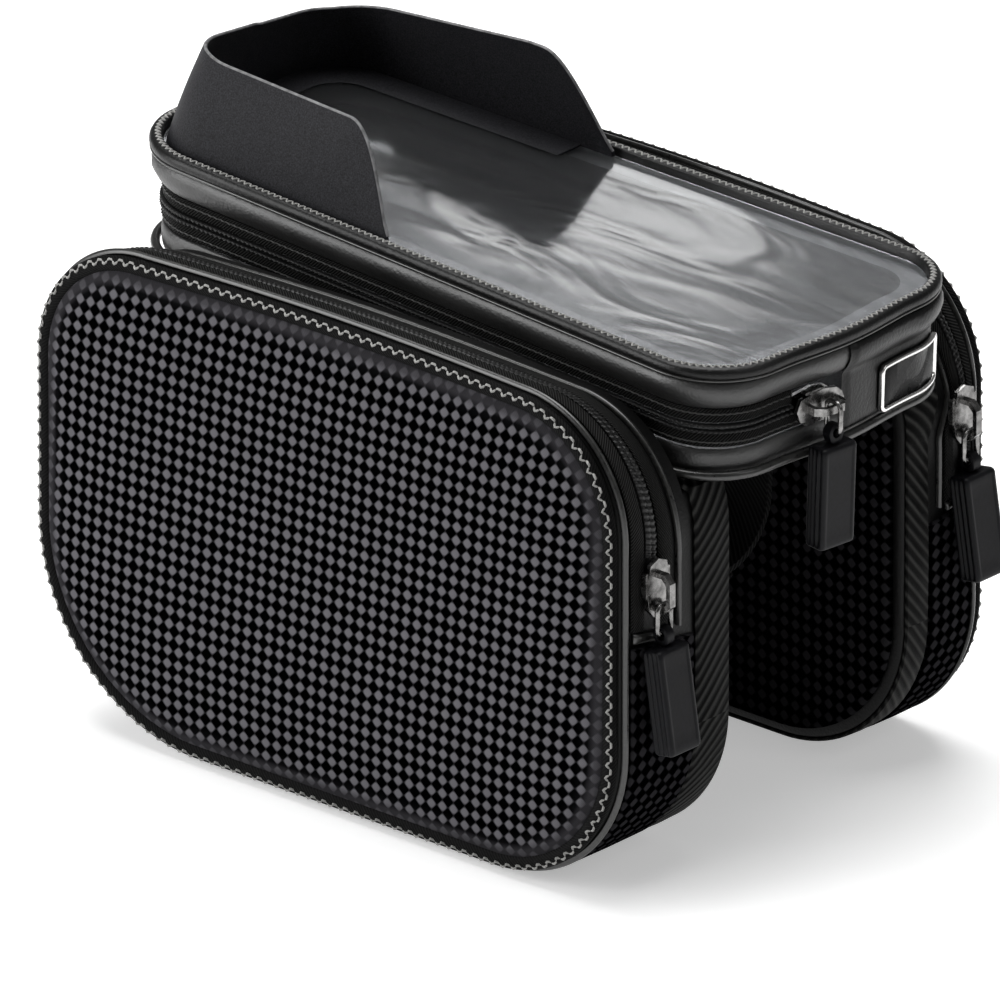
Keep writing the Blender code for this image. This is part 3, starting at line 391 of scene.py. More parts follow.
cord_cloth = twill("cord cloth", (0.003, 0.003, 0.003), 0.7, 0.35)
nylon_rib = twill("ribbed nylon", (0.001, 0.001, 0.001), 2.5, 0.9, (0.042, 0.042, 0.04))
light_thread = thread("light thread", (0.42, 0.415, 0.4))
piping_skin, shader = material("piping", (0.006, 0.006, 0.006), 0.24, specular=0.75)
specks = node(piping_skin, "TexNoise", Vector=node(piping_skin, "TexCoord").outputs["Object"], Scale=900.0, Detail=3.0)
shade(piping_skin, shader, "Base Color", specks.outputs[0], 0.3, 0.8, (0.005, 0.005, 0.005), (0.03, 0.03, 0.028))
shade(piping_skin, shader, "Roughness", specks.outputs[0], 0.2, 0.42)
for name, side, outer in POUCHES:
    roll = [(0.1, 0.1), (0.7, -0.3), (1.4, -0.25), (2.0, 0.25), (2.35, 1.1), (2.4, 2.0), (2.2, 2.8), (1.8, 3.3),
            (1.2, 3.3), (0.9, 2.4), (0.4, 1.2)]
    rings = face_rings(side, outer, even_marks(lambda t: pouch_outline(t, -1.0), 0, 8, 2.0)[:-1], roll)
    dress(surface(f"{name}_bound_edge", rings.transpose(1, 0, 2), along=True), cord_cloth, "binding", "bag",
          f"{name}_panel_binding")
    turns = even_marks(lambda t: pouch_outline(t, -0.9), 0, 8, 0.425)[:-1]
    turns = whole_stitches(turns, 8)
    step = 2 * np.pi * np.arange(len(turns)) / 8.0
    across = 0.75 - 0.55 * np.cos(step)
    x, z = pouch_outline(turns, -across)
    lift = np.interp(across, [-0.25, 0.25, 1.1, 2.0], [1.5, 2.0, 2.35, 2.42]) + 0.32 * np.cos(2 * step)
    line = np.stack([x, side * (outer + lift), z], -1)
    dress(surface(f"{name}_panel_stitches", bead_path(line, 0.3, 6), along=True), light_thread, "binding", "bag")
    for label, seam, start, end in (("outer", 1.9, 0, 8), ("inner", SEAM_DEPTH, REAR_END, FRONT_END)):
        closed = label == "outer"
        marks = even_marks(lambda t: pouch_outline(t, 0.0), start, end, 2.0)[:-1 if closed else None]
        half = [(-0.85, 0.25), (-0.75, 0.8), (-0.45, 1.25), (0, 1.45), (0.45, 1.25), (0.75, 0.8), (0.85, 0.25)]
        bead = np.stack([gusset_point(side, outer, marks, seam + d, h) for d, h in half], 1)
        dress(surface(f"{name}_{label}_seam_piping", bead, along=closed), piping_skin, "binding", "bag",
              f"{name}_{label}_piping")
    tape = [(26.8, 0.3), (38.7, 0.3), (38.9, 0.7), (38.4, 1.15), (33, 1.3), (27.4, 1.15), (26.7, 0.7)]
    edge = np.stack([gusset_point(side, outer, around_pouch, d, h, True) for d, h in tape], 1)
    dress(surface(f"{name}_tunnel_edge_tape", edge, along=True), nylon_rib, "webbing", "bag",
          f"{name}_inner_binding")


# Side pouches, part 4: the zippers. Two woven tapes carry a nylon coil, sewn in back to front so that the coil's
# ribs show as a fine fishbone. A moulded bar ends the coil at each side.
def coil_plastic(name, colour):
    """Drawn nylon, slightly worn."""
    mat, shader = material(name, colour, 0.38, specular=0.3)
    worn = node(mat, "TexNoise", Vector=node(mat, "TexCoord").outputs["Object"], Scale=700.0, Detail=3.0).outputs[0]
    shade(mat, shader, "Roughness", worn, 0.28, 0.55)
    bump(mat, shader, worn, 0.2, 0.0001)
    return mat


tape_cloth = twill("zipper tape cloth", (0.003, 0.003, 0.003), 0.62, 0.7, (0.026, 0.026, 0.025))
coil_nylon = coil_plastic("zipper coil nylon", (0.007, 0.007, 0.007))
COIL_PITCH, SLIDER_HALF, SLIDER_CLEAR = 1.5, 6.8, 1.2
for name, side, outer in POUCHES:
    marks = even_marks(lambda t: pouch_outline(t, 0.0), REAR_END, FRONT_END, 2.2)
    for label, sign in (("outer", 1), ("inner", -1)):
        flat = [(7.1, 0.3), (2.6, 0.3), (2.5, 0.75), (2.9, 1.1), (4.6, 1.18), (6.8, 1.1), (7.2, 0.8)]
        strip = np.stack([gusset_point(side, outer, marks, ZIP_DEPTH - sign * d, h) for d, h in flat], 1)
        dress(surface(f"{name}_{label}_tape", strip), tape_cloth, "zipper_tape", "bag",
              f"{name}_zipper_tape_{label}")
    coil_start = (79.5 + SLIDER_HALF + SLIDER_CLEAR - POUCH_FLOOR - REAR_RADIUS) / REAR_RUN
    marks = even_marks(lambda t: pouch_outline(t, 0.0), coil_start, FRONT_END, COIL_PITCH / 6)
    turn = np.cos(2 * np.pi * np.arange(len(marks)) / 6.0)
    flat = [(-1.85, 0.35), (-1.8, 0.9), (-1.1, 1.2), (-0.35, 1.15), (0, 0.85), (0.35, 1.15), (1.1, 1.2), (1.8, 0.9),
            (1.85, 0.35)]
    strip = np.stack([gusset_point(side, outer, marks + 0.0012 * abs(d), ZIP_DEPTH + d,
                                   h + (0.17 * turn if h > 0.5 else 0))
                      for d, h in flat], 1)
    dress(surface(f"{name}_coil", strip, sharp=75), coil_nylon, "zipper_coil", "bag", f"{name}_zipper_coil")
    for label, t0, t1 in (("rear", REAR_END - 0.06, REAR_END - 0.01), ("front", FRONT_END + 0.01, FRONT_END + 0.06)):
        marks = np.linspace(t0, t1, 7)
        swell = 1 - 0.55 * (2 * abs(np.linspace(0, 1, 7) - 0.5)) ** 4
        flat = [(-6.1, 0.3), (-6.2, 0.8), (-5.7, 1.35), (-3, 1.5), (0, 1.45), (3, 1.5), (5.7, 1.35), (6.2, 0.8),
                (6.1, 0.3)]
        bar = np.stack([gusset_point(side, outer, marks, ZIP_DEPTH + d, 0.3 + (h - 0.3) * swell) for d, h in flat], 1)
        dress(surface(f"{name}_{label}_end_bar", bar), piping_skin, "binding", "bag", f"{name}_zipper_stop_{label}")


# Tray: a shallow leather cup that the tunnel's edge is sewn to. It has a foam floor and a piped lower seam, and it
# tilts 2 degrees down towards the rider.
RIM_REAR, RIM_FRONT, REAR_CORNER, FRONT_CORNER, REAR_HALF, FRONT_HALF = 101.0, -98.0, 20.0, 23.0, 26.0, 17.0
SIDE_RUN = RIM_REAR - REAR_CORNER - RIM_FRONT - FRONT_CORNER
TILT = np.array([[math.cos(BAG_TILT), 0, math.sin(BAG_TILT)], [0, 1, 0], [-math.sin(BAG_TILT), 0, math.cos(BAG_TILT)]])


def tray_place(points):
    """Points in the tray's own frame turned by the tilt about y and lifted to the tray's base."""
    return np.asarray(points) @ TILT.T + np.array([0, 0, BAG_BASE])


def rim(t, offset):
    """The lid's outline from above as x and y, grown by offset: a bowed rear edge, two slanting sides, a front edge
    and four round corners. t counts eight runs, from the rear edge's far end towards the near side."""
    t, offset = np.broadcast_arrays(np.asarray(t, float) % 8, np.asarray(offset, float))
    run = np.floor(t).astype(int)
    f = t - run
    rear, front = RIM_REAR + offset, RIM_FRONT - offset
    rear_r, front_r = REAR_CORNER + offset, FRONT_CORNER + offset
    y = REAR_HALF * (1 - 2 * f)
    x0 = rear + 1.8 * (0.5 + 0.5 * np.cos(np.pi * y / REAR_HALF))
    ends = {2: ((rear - rear_r, -REAR_HALF - rear_r), (front + front_r, -FRONT_HALF - front_r)),
            6: ((front + front_r, FRONT_HALF + front_r), (rear - rear_r, REAR_HALF + rear_r))}
    x, yy = x0, y
    for k, (a, b) in ends.items():
        x = np.where(run == k, a[0] + (b[0] - a[0]) * f, x)
        yy = np.where(run == k, a[1] + (b[1] - a[1]) * f, yy)
    x = np.where(run == 4, front, x)
    yy = np.where(run == 4, FRONT_HALF * (2 * f - 1), yy)
    rear_x, front_x = RIM_REAR - REAR_CORNER, RIM_FRONT + FRONT_CORNER
    for k, (cx, cy, r, a0) in {1: (rear_x, -REAR_HALF, rear_r, 0), 3: (front_x, -FRONT_HALF, front_r, 270),
                               5: (front_x, FRONT_HALF, front_r, 180), 7: (rear_x, REAR_HALF, rear_r, 90)}.items():
        a = np.radians(a0 - 90 * f)
        x = np.where(run == k, cx + r * np.cos(a), x)
        yy = np.where(run == k, cy + r * np.sin(a), yy)
    return x, yy


def rear_wall(y):
    """The rim's run count at a distance y along the rear wall, positive to the far side."""
    y = np.asarray(y, float)
    return np.where(y > REAR_HALF, 8 - (y - REAR_HALF) / (REAR_CORNER * math.pi / 2), (1 - y / REAR_HALF) / 2)


def rim_rows(marks, section):
    """Rows along the rim: at each mark, the section's (offset, height) points in the tray's frame."""
    rows = []
    for o, z in section:
        x, y = rim(marks, o)
        rows.append(np.stack([x, y, np.broadcast_to(z, x.shape)], -1))
    return tray_place(np.stack(rows, 1))


# The tray and lid-shoulder leather is painted lighter than the gusset leather. This is a painted sheen that stands in
# for the satin highlight along the lid's shoulder.
lightened_tray_leather = leather("tray leather, painted sheen", (0.009, 0.009, 0.0088), 0.44, 0.9)
around_rim = even_marks(lambda t: rim(t, 0.0), 0, 8, 2.0)[:-1]
cup = [(-9, 0.15), (-6.0, 0.1), (-4.9, 0.35), (-4.2, 1.1), (-3.75, 2.4), (-3.5, 4.2), (-3.5, 6.2), (-3.7, 7.8),
       (-4.1, 8.15), (-5.2, 8.15), (-5.6, 7.8), (-5.6, 3.6), (-6.4, 2.3), (-9, 2.0)]
dress(surface("tray_cup", rim_rows(around_rim, cup).transpose(1, 0, 2)), lightened_tray_leather, "leather", "bag", "tray_shell")
line = [(-2.1 + 1.2 * math.cos(a), 2.0 + 1.2 * math.sin(a)) for a in np.arange(10) * math.pi / 5]
dress(surface("tray_lower_piping", rim_rows(around_rim, line), along=True), piping_skin, "binding", "bag",
      "tray_bottom_piping")

# Tray floor: thin foam board under a brushed black lining, glued down along its edges, so that it puffs up slightly
# between them. The remesh is finer than the board is thick, because a coarser one would tear it.
PAD_VOXEL = 0.0016
lining, shader = material("brushed lining", (0.006, 0.006, 0.0065), 0.85, specular=0.06)
where = node(lining, "TexCoord").outputs["Object"]
fuzz = node(lining, "TexNoise", Vector=where, Scale=1600.0, Detail=4.0).outputs[0]
shade(lining, shader, "Base Color", fuzz, 0.3, 0.7, (0.003, 0.003, 0.0033), (0.014, 0.014, 0.015))
bump(lining, shader, fuzz, 0.6, 0.0003)
shader.inputs["Sheen Weight"].default_value = 0.08


def puffed(piece, pressure, cap):
    """Blows a closed pad up a little with Cloth, holds each point within cap metres of its start, and smooths it."""
    step = piece.modifiers.new("even", "REMESH")
    step.mode = "VOXEL"
    step.voxel_size = PAD_VOXEL
    bpy.context.view_layer.update()
    shape = bpy.data.meshes.new_from_object(piece.evaluated_get(bpy.context.evaluated_depsgraph_get()))
    piece.modifiers.clear()
    piece.data = shape
    start = np.empty(len(shape.vertices) * 3)
    shape.vertices.foreach_get("co", start)
    cloth = piece.modifiers.new("air", "CLOTH")
    cloth.settings.use_pressure = True
    cloth.settings.uniform_pressure_force = pressure
    cloth.settings.effector_weights.gravity = 0
    for number in range(1, 21):
        bpy.context.scene.frame_set(number)
    blown = bpy.data.meshes.new_from_object(piece.evaluated_get(bpy.context.evaluated_depsgraph_get()))
    piece.modifiers.clear()
    end = np.empty(len(blown.vertices) * 3)
    blown.vertices.foreach_get("co", end)
    move = (end - start).reshape(-1, 3)
    far = np.linalg.norm(move, axis=1, keepdims=True)
    move *= np.minimum(1, cap / np.maximum(far, 1e-9))
    blown.vertices.foreach_set("co", (start.reshape(-1, 3) + move).ravel())
    blown.shade_smooth()
    piece.data = blown
    bpy.context.scene.frame_set(1)
    smooth = piece.modifiers.new("smooth", "SUBSURF")
    smooth.levels = smooth.render_levels = 1
    return piece


pad = [(-10.4, 2.6), (-9.0, 2.9), (-8.6, 3.8), (-9.0, 4.7), (-10.4, 5.2), (-16, 5.5)]
pad_piece = surface("tray_foam_floor", rim_rows(around_rim, pad).transpose(1, 0, 2))
dress(puffed(pad_piece, 1.0, 0.0004), lining, "foam", "bag", "tray_floor_pad")


# Top zipper: it runs from the slider round the front to the hinge panel. Its lower half is sewn to the tray, and
# its upper half to the lid. Each half is a narrow ribbed tape with two rows of stitches and half of the coil.
zip_start, zip_end = float(rear_wall(-8.8 - SLIDER_HALF - SLIDER_CLEAR)), float(rear_wall(44.5))
tape_rows = even_marks(lambda t: rim(t, 0.0), float(rear_wall(-1.3)), zip_end, 2.0)
lid_rows = even_marks(lambda t: rim(t, 0.0), zip_start, zip_end, 2.0)


def narrow_tape(name, marks, low, body, replaced):
    """A tape of 3.4 mm by 0.8 mm with rounded edges, standing on its edge."""
    section = [(-4.4, low), (-3.75, low), (-3.6, low + 0.25), (-3.55, low + 1.7), (-3.6, low + 3.15),
               (-3.75, low + 3.4), (-4.4, low + 3.4)]
    return dress(surface(name, rim_rows(marks, section)), tape_cloth, "zipper_tape", body, replaced)


def tape_stitches(name, marks, height, body):
    """A row of short stitches along a tape: a bead that comes out of the cloth once every 2.1 mm."""
    fine = even_marks(lambda t: rim(t, 0.0), marks[0], marks[-1], 0.42)[2:-2]
    line = rim_rows(fine, [(-3.52 + 0.16 * np.cos(2 * np.pi * np.arange(len(fine)) / 5.0), height)])[:, 0]
    return dress(surface(name, bead_path(line, 0.2, 5, (0, 0, 1))), dim_thread, "zipper_tape", body)


dim_thread = thread("black thread", (0.07, 0.07, 0.068))
narrow_tape("tray_tape", tape_rows, 8.8, "bag", "tray_zipper_tape")
narrow_tape("lid_tape", lid_rows, 15.1, "lid", "lid_zipper_tape")
tape_stitches("tray_tape_stitches", tape_rows, 10.0, "bag")
tape_stitches("lid_tape_stitches", lid_rows, 17.3, "lid")
for name, low, high, body, replaced in (("tray_coil", 12.2, 13.3, "bag", "tray_zipper_coil"),
                                        ("lid_coil", 13.7, 14.8, "lid", "lid_zipper_coil")):
    marks = even_marks(lambda t: rim(t, 0.0), zip_start, zip_end, COIL_PITCH / 6)
    turn = 0.5 + 0.5 * np.cos(2 * np.pi * np.arange(len(marks)) / 6.0)
    half = [(-4.4, low, 0), (-3.5, low, 0), (-3.1, low + 0.2, 0.28), (-2.95, (low + high) / 2, 0.32),
            (-3.1, high - 0.2, 0.28), (-3.5, high, 0), (-4.4, high, 0)]
    rows = rim_rows(marks, [(o + swell * turn - 0.15, z) for o, z, swell in half])
    dress(surface(name, rows, sharp=75), coil_nylon, "zipper_coil", body, replaced)


# Lid, part 1: the shoulder. A band of soft leather over foam is sewn to the zipper and turned in under the window.
# It bulges outwards, with small wrinkles where it goes round the corners.
corner = np.clip(1 - abs((around_rim % 2) - 1.5) * 1.6, 0, 1) * np.where(np.floor(around_rim) % 2 == 1, 1, 0)
pucker = 0.16 * corner * np.sin(around_rim * 46.0) + 0.1 * np.sin(around_rim * 9.3 + 1.0)
bulge = [(-3.65, 18.85), (-3.0, 19.3), (-2.1, 20.3), (-1.35, 21.6), (-0.85, 23.0), (-0.75, 24.2), (-1.0, 25.4),
         (-1.6, 26.3), (-2.5, 26.9)]
lining_side = [(-3.4, 27.1), (-10, 27.1), (-10, 25.9), (-5.9, 25.2), (-5.6, 22.5), (-5.6, 19.0), (-4.6, 18.8)]
rows = [(o + (math.exp(-((z - 23.4) / 2.4) ** 2) if o > -3.6 else 0.0) * pucker, z) for o, z in bulge] + lining_side
# The shoulder takes the lighter leather, whose colour carries a painted sheen.
dress(surface("lid_padded_shoulder", rim_rows(around_rim, rows), along=True), lightened_tray_leather, "leather", "lid",
      "lid_shoulder")

# Lid, part 2: the bound rim. A leather strip is folded over the window's edge and sewn through with a light zigzag,
# over a thin piping at its outer foot.
rim_leather = leather("rim leather", (0.003, 0.003, 0.003), 0.36, 0.3)
fold = [(-3.2, 27.4), (-0.9, 27.4), (-0.25, 27.8), (0.0, 28.5), (-0.05, 29.3), (-0.45, 30.0), (-1.2, 30.4),
        (-2.2, 30.45), (-3.0, 30.3), (-3.25, 29.9)]
dress(surface("lid_bound_rim", rim_rows(around_rim, fold), along=True), rim_leather, "binding", "lid", "lid_binding")
line = [(-0.55 + 0.42 * math.cos(a), 27.25 + 0.42 * math.sin(a)) for a in np.arange(8) * math.pi / 4]
dress(surface("lid_rim_piping", rim_rows(around_rim, line), along=True), piping_skin, "binding", "lid")
turns = even_marks(lambda t: rim(t, 0.0), 0, 8, 0.33)[:-1]
turns = whole_stitches(turns, 6)
zig = 2 * abs((np.arange(len(turns)) / 6.0) % 1.0 - 0.5)
line = rim_rows(turns, [(-2.75 + 1.35 * zig, 30.52 - 0.28 * (2 * zig - 1) ** 2)])[:, 0]
dress(surface("lid_rim_stitches", bead_path(line, 0.24, 6, (0, 0, 1)), along=True), light_thread, "binding", "lid")


# Lid, part 3: the clear window. A sheet of soft plastic, welded flat and then bent by use, so that it carries long
# shallow wrinkles that break up its reflections.
clear, shader = material("clear film", (0.92, 0.94, 0.97), 0.09, specular=0.4)
shader.inputs["Transmission Weight"].default_value = 0.99
shader.inputs["IOR"].default_value = 1.46
where = node(clear, "TexCoord").outputs["Object"]
long_way = node(clear, "Mapping", Vector=where, Scale=(0.45, 1.0, 1.0), Rotation=(0, 0, 0.35)).outputs[0]
ripple = node(clear, "TexNoise", Vector=long_way, Scale=38.0, Detail=2.0, Distortion=1.2).outputs[0]
bump(clear, shader, ripple, 0.2, 0.0016)
rings = [(-3.5, 27.4), (-3.5, 28.15), (-3.8, 28.2), (-6, 28.2), (-9, 28.25), (-13, 28.3), (-18, 28.3)]
dress(surface("lid_clear_window", rim_rows(around_rim, rings).transpose(1, 0, 2)), clear, "clear_window", "lid",
      "lid_window")

# Sun hood: one band of coated sheet, bent in a U and sewn into the rim. It leans back, its ends are cut in big
# rounds, and its cut edge shows as a thin pale line. A flat flange of the same sheet lies on the window inside it.
coated, shader = material("coated sheet", (0.012, 0.012, 0.014), 0.6, specular=0.12)
where = node(coated, "TexCoord").outputs["Object"]
grit = node(coated, "TexNoise", Vector=where, Scale=2600.0, Detail=3.0).outputs[0]
cloud = node(coated, "TexNoise", Vector=where, Scale=30.0, Detail=2.0).outputs[0]
shade(coated, shader, "Base Color", grit, 0.35, 0.7, (0.008, 0.008, 0.009), (0.026, 0.026, 0.03))
shade(coated, shader, "Roughness", cloud, 0.5, 0.7)
bump(coated, shader, grit, 0.45, 0.00015)
HOOD_BASE, HOOD_HEIGHT, HOOD_NEAR, HOOD_FAR, HOOD_ROUND = 28.5, 25.0, 86.6, 92.0, 20.0
hood_start = 2 + (RIM_REAR - REAR_CORNER - (RIM_FRONT + HOOD_NEAR - 0.4)) / SIDE_RUN
hood_marks = even_marks(lambda t: rim(t, 0.0), hood_start, 9 - hood_start + (HOOD_FAR - HOOD_NEAR) / SIDE_RUN, 1.6)


def hood_point(t, inset, share):
    """A point on the hood. With a the way in from its end, its height is 25 mm times the sine of a over 20 mm, and it
    sinks by up to a quarter towards its far front corner. It leans in by 6 mm at the sides and back by 8 mm at the
    front as it rises; share is the part of the height."""
    x, y = rim(t, -inset)
    left = np.where(y < 0, HOOD_NEAR, HOOD_FAR) - (rim(t, -4.2)[0] - RIM_FRONT)
    height = np.maximum(1.5, HOOD_HEIGHT * np.sin(np.pi / 2 * np.clip(left / HOOD_ROUND, 0, 1)))
    height = height * (1 - 0.13 * np.clip((left - 25.0) / 60.0, 0, 1) * np.clip(1.1 + y / 30.0, 0, 2))
    rise = share * height
    bow = 0.8 * np.sin(np.pi * share) * np.clip(left / HOOD_ROUND, 0, 1)
    back = 8.0 * rise / HOOD_HEIGHT * np.clip(left / HOOD_NEAR, 0, None)
    inward = 1 - 6.0 / 40.0 * rise / HOOD_HEIGHT
    lean_in = bow * np.sign(y) * np.clip(abs(y) / 30, 0, 1)
    return tray_place(np.stack([x + back, y * inward + lean_in, HOOD_BASE + rise], -1))


shares = np.linspace(0, 1, 9)
outside = [hood_point(hood_marks, 4.25, s) for s in shares]
inside = [hood_point(hood_marks, 5.35, s) for s in shares[::-1]]
hood = surface("sun_hood", np.stack(outside + inside, 1))
dress(hood, coated, "hood", "lid", "hood")
cut_edge, shader = material("cut edge", (0.11, 0.11, 0.115), 0.5)
where = node(cut_edge, "TexCoord").outputs["Object"]
shade(cut_edge, shader, "Base Color", node(cut_edge, "TexNoise", Vector=where, Scale=600.0).outputs[0], 0.3, 0.7,
      (0.07, 0.07, 0.072), (0.2, 0.2, 0.205))
line = hood_point(hood_marks, 4.8, 1.0)
edge = surface("hood_cut_edge", bead_path(line, 0.42, 8, (0.02, 0.01, 1)))
dress(edge, cut_edge, "hood", "lid")
lap = [(-5.4, 28.55), (-13.5, 28.5), (-13.8, 28.75), (-13.5, 28.95), (-5.4, 29.0)]
flange = surface("hood_flange", rim_rows(hood_marks[6:-6], lap))
dress(flange, coated, "hood", "lid")

# Hinge panel: one piece of leather sewn over the end of the zipper. Below, it is held to the tray; above, it goes
# up to the rim, so the lid swings on it. Its near edge is a turned seam with a row of stitches.
PANEL_NEAR, PANEL_FAR = -1.0, 43.0
panel_marks = rear_wall(np.linspace(PANEL_FAR, PANEL_NEAR, 60))
levels = [3.6, 4.4, 6, 8, 10, 12, 14, 15.5, 16.4, 17.2, 18.0, 18.8, 19.6, 20.6, 22, 23.5, 25, 26.2, 26.8]
base = np.interp(levels, [0, 18.2, 19.2, 20.3, 21.6, 23.0, 24.2, 25.4, 26.3, 26.9],
                 [-3.3, -3.3, -2.75, -1.85, -1.1, -0.6, -0.45, -0.7, -1.2, -2.0])
turned_edge = 0.85 * np.clip(np.minimum(np.arange(60), 59 - np.arange(60)) / 3.0, 0.25, 1)
rows = [(o + 0.1, z) for z, o in zip(levels, base)]
rows += [(o + 0.1 + turned_edge * (1.0 if 4 < z < 26.5 else 0.55), z) for z, o in zip(levels[::-1], base[::-1])]
panel = surface("rear_hinge_panel", rim_rows(panel_marks, rows))
panel.data.materials.append(rim_leather)
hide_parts("hinge_panel")
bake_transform(panel)


# Badge: a bright frame pressed from thin sheet round a glossy black plate. Both are bent to the wall's curve and
# sit on the lower half of the hinge panel. The plate is left bare.
def badge_point(u, v, w):
    """A point on the badge: u along the wall from its near end, v up from its middle, w out from the panel."""
    x, y = rim(rear_wall(12.5 + u), -1.95 + w)
    return tray_place(np.stack([x, y, np.broadcast_to(9.8 + v, np.shape(x))], -1))


bright, shader = material("bright metal", (0.86, 0.85, 0.84), 0.2, metallic=1.0)
where = node(bright, "TexCoord").outputs["Object"]
scuff = node(bright, "TexNoise", Vector=where, Scale=420.0, Detail=3.0).outputs[0]
shade(bright, shader, "Roughness", scuff, 0.14, 0.34)
corners = [(25.0, 4.2, 0), (2.0, 4.2, 90), (2.0, -4.2, 180), (25.0, -4.2, 270)]
loop = np.array([(cx, cy, math.radians(a0 + a)) for cx, cy, a0 in corners for a in np.linspace(0, 90, 7)])
middle = np.concatenate([[[25.0 - 23.0 * f, 4.2, math.pi / 2]] for f in np.linspace(0.1, 0.9, 9)])
loop = np.concatenate([loop[:7], middle, loop[7:21], (middle * [1, -1, -1])[::-1], loop[21:]])
ring = []
for inset, w in ((0.0, 0.0), (0.0, 0.75), (0.2, 1.05), (0.6, 1.15), (1.0, 1.05), (1.2, 0.75), (1.2, 0.1)):
    r = 2.0 - inset
    ring.append(badge_point(loop[:, 0] + r * np.cos(loop[:, 2]), loop[:, 1] + r * np.sin(loop[:, 2]), w))
dress(surface("badge_bright_frame", np.stack(ring, 1), along=True, sharp=60), bright, "silver", "bag", "badge_frame")
gloss, shader = material("gloss black", (0.002, 0.002, 0.0024), 0.22, specular=0.08)
where = node(gloss, "TexCoord").outputs["Object"]
shade(gloss, shader, "Roughness", node(gloss, "TexNoise", Vector=where, Scale=500.0, Detail=4.0).outputs[0], 0.15, 0.4)
plate = []
for inset, w in ((1.3, 0.05), (1.3, 0.4), (1.5, 0.5)):
    r = 2.0 - inset
    plate.append(badge_point(loop[:, 0] + r * np.cos(loop[:, 2]), loop[:, 1] + r * np.sin(loop[:, 2]), w))
dress(surface("badge_gloss_plate", np.stack(plate)), gloss, "badge_plate", "bag", "badge_plate")


# Saddle pad and tube straps: a padded web between the pouches rests on the tube. Two hook-and-loop straps of
# ribbed nylon close round the tube, each with its rounded end lapped on the outside.
def rounded(u0, u1, v0, v1, radius, count):
    """A rectangle with round corners as count points, evenly spaced along it from the right side's top."""
    corners = []
    for cx, cy, a0 in ((u1 - radius, v1 - radius, 0), (u0 + radius, v1 - radius, 90),
                       (u0 + radius, v0 + radius, 180), (u1 - radius, v0 + radius, 270)):
        a = np.radians(np.linspace(a0, a0 + 90, 13))
        corners.append(np.stack([cx + radius * np.cos(a), cy + radius * np.sin(a)], -1))
    points = np.concatenate(corners + [corners[0][:1]])
    length = np.concatenate([[0], np.cumsum(np.linalg.norm(np.diff(points, axis=0), axis=1))])
    even = np.linspace(0, length[-1], count + 1)[:-1]
    return np.stack([np.interp(even, length, points[:, 0]), np.interp(even, length, points[:, 1])], -1)


rings = []
for inset, z in ((3, -2.7), (0.9, -2.5), (0.3, -1.6), (0.9, -0.7), (3, -0.5)):
    loop = rounded(-76.4 + inset, 77.6 - inset, -30.4 + inset, 30.4 - inset, 8, 160)
    rings.append(np.concatenate([loop, np.full((len(loop), 1), z)], 1))
pad_piece = surface("saddle_padding", tray_place(np.array(rings)))
dress(puffed(pad_piece, 1.0, 0.0003), lining, "webbing", "bag", "saddle_pad")
strap_rib = twill("strap webbing", (0.011, 0.011, 0.011), 1.1, 0.7, (0.03, 0.03, 0.03))
for place, x in (("front", -52.0), ("rear", 46.0)):
    rings = []
    for grow, half in ((0, 12.3), (0, 12.5), (0.8, 12.6), (1.6, 12.5), (1.6, 12.3), (1.6, 0), (1.6, -12.3),
                       (1.6, -12.5), (0.8, -12.6), (0, -12.5), (0, -12.3), (0, 0)):
        loop = rounded(-22 - grow, 22 + grow, -48.8 - grow, -4.8 + grow, 15 + grow, 84)
        rings.append(np.concatenate([np.full((len(loop), 1), x + half), loop], 1))
    dress(surface(f"{place}_tube_strap", tray_place(np.stack(rings, 1)), along=True), strap_rib, "webbing", "bag",
          f"{place}_strap")
    rings = []
    for inset, z in ((0.4, -50.7), (0, -51.0), (0, -51.6), (0.4, -51.9)):
        loop = rounded(x - 12.5 + inset, x + 12.5 - inset, -12 + inset, 12 - inset, 3, 48)
        rings.append(np.concatenate([loop, np.full((len(loop), 1), z)], 1))
    dress(surface(f"{place}_strap_end", tray_place(np.array(rings))), strap_rib, "webbing", "bag",
          f"{place}_strap_tab")

# Sliders: dark plated die castings that run on each zipper. Their nodes have the right shape, so they keep it and
# get softer edges and a worn plating.
plated, shader = material("dark plating", (0.36, 0.355, 0.35), 0.24, metallic=1.0)
where = node(plated, "TexCoord").outputs["Object"]
worn = node(plated, "TexNoise", Vector=where, Scale=520.0, Detail=4.0).outputs[0]
shade(plated, shader, "Base Color", worn, 0.3, 0.7, (0.1, 0.098, 0.096), (0.32, 0.315, 0.31))
shade(plated, shader, "Roughness", worn, 0.16, 0.36)
for name in ("near_pouch_slider", "far_pouch_slider", "top_slider"):
    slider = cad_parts[name]
    slider.data.materials.clear()
    slider.data.materials.append(plated)
    weld = slider.modifiers.new("weld", "WELD")
    weld.merge_threshold = 0.00001
    soft = slider.modifiers.new("soft edges", "BEVEL")
    soft.width = 0.00028
    soft.segments = 2
    soft.limit_method = "ANGLE"
    soft.harden_normals = False

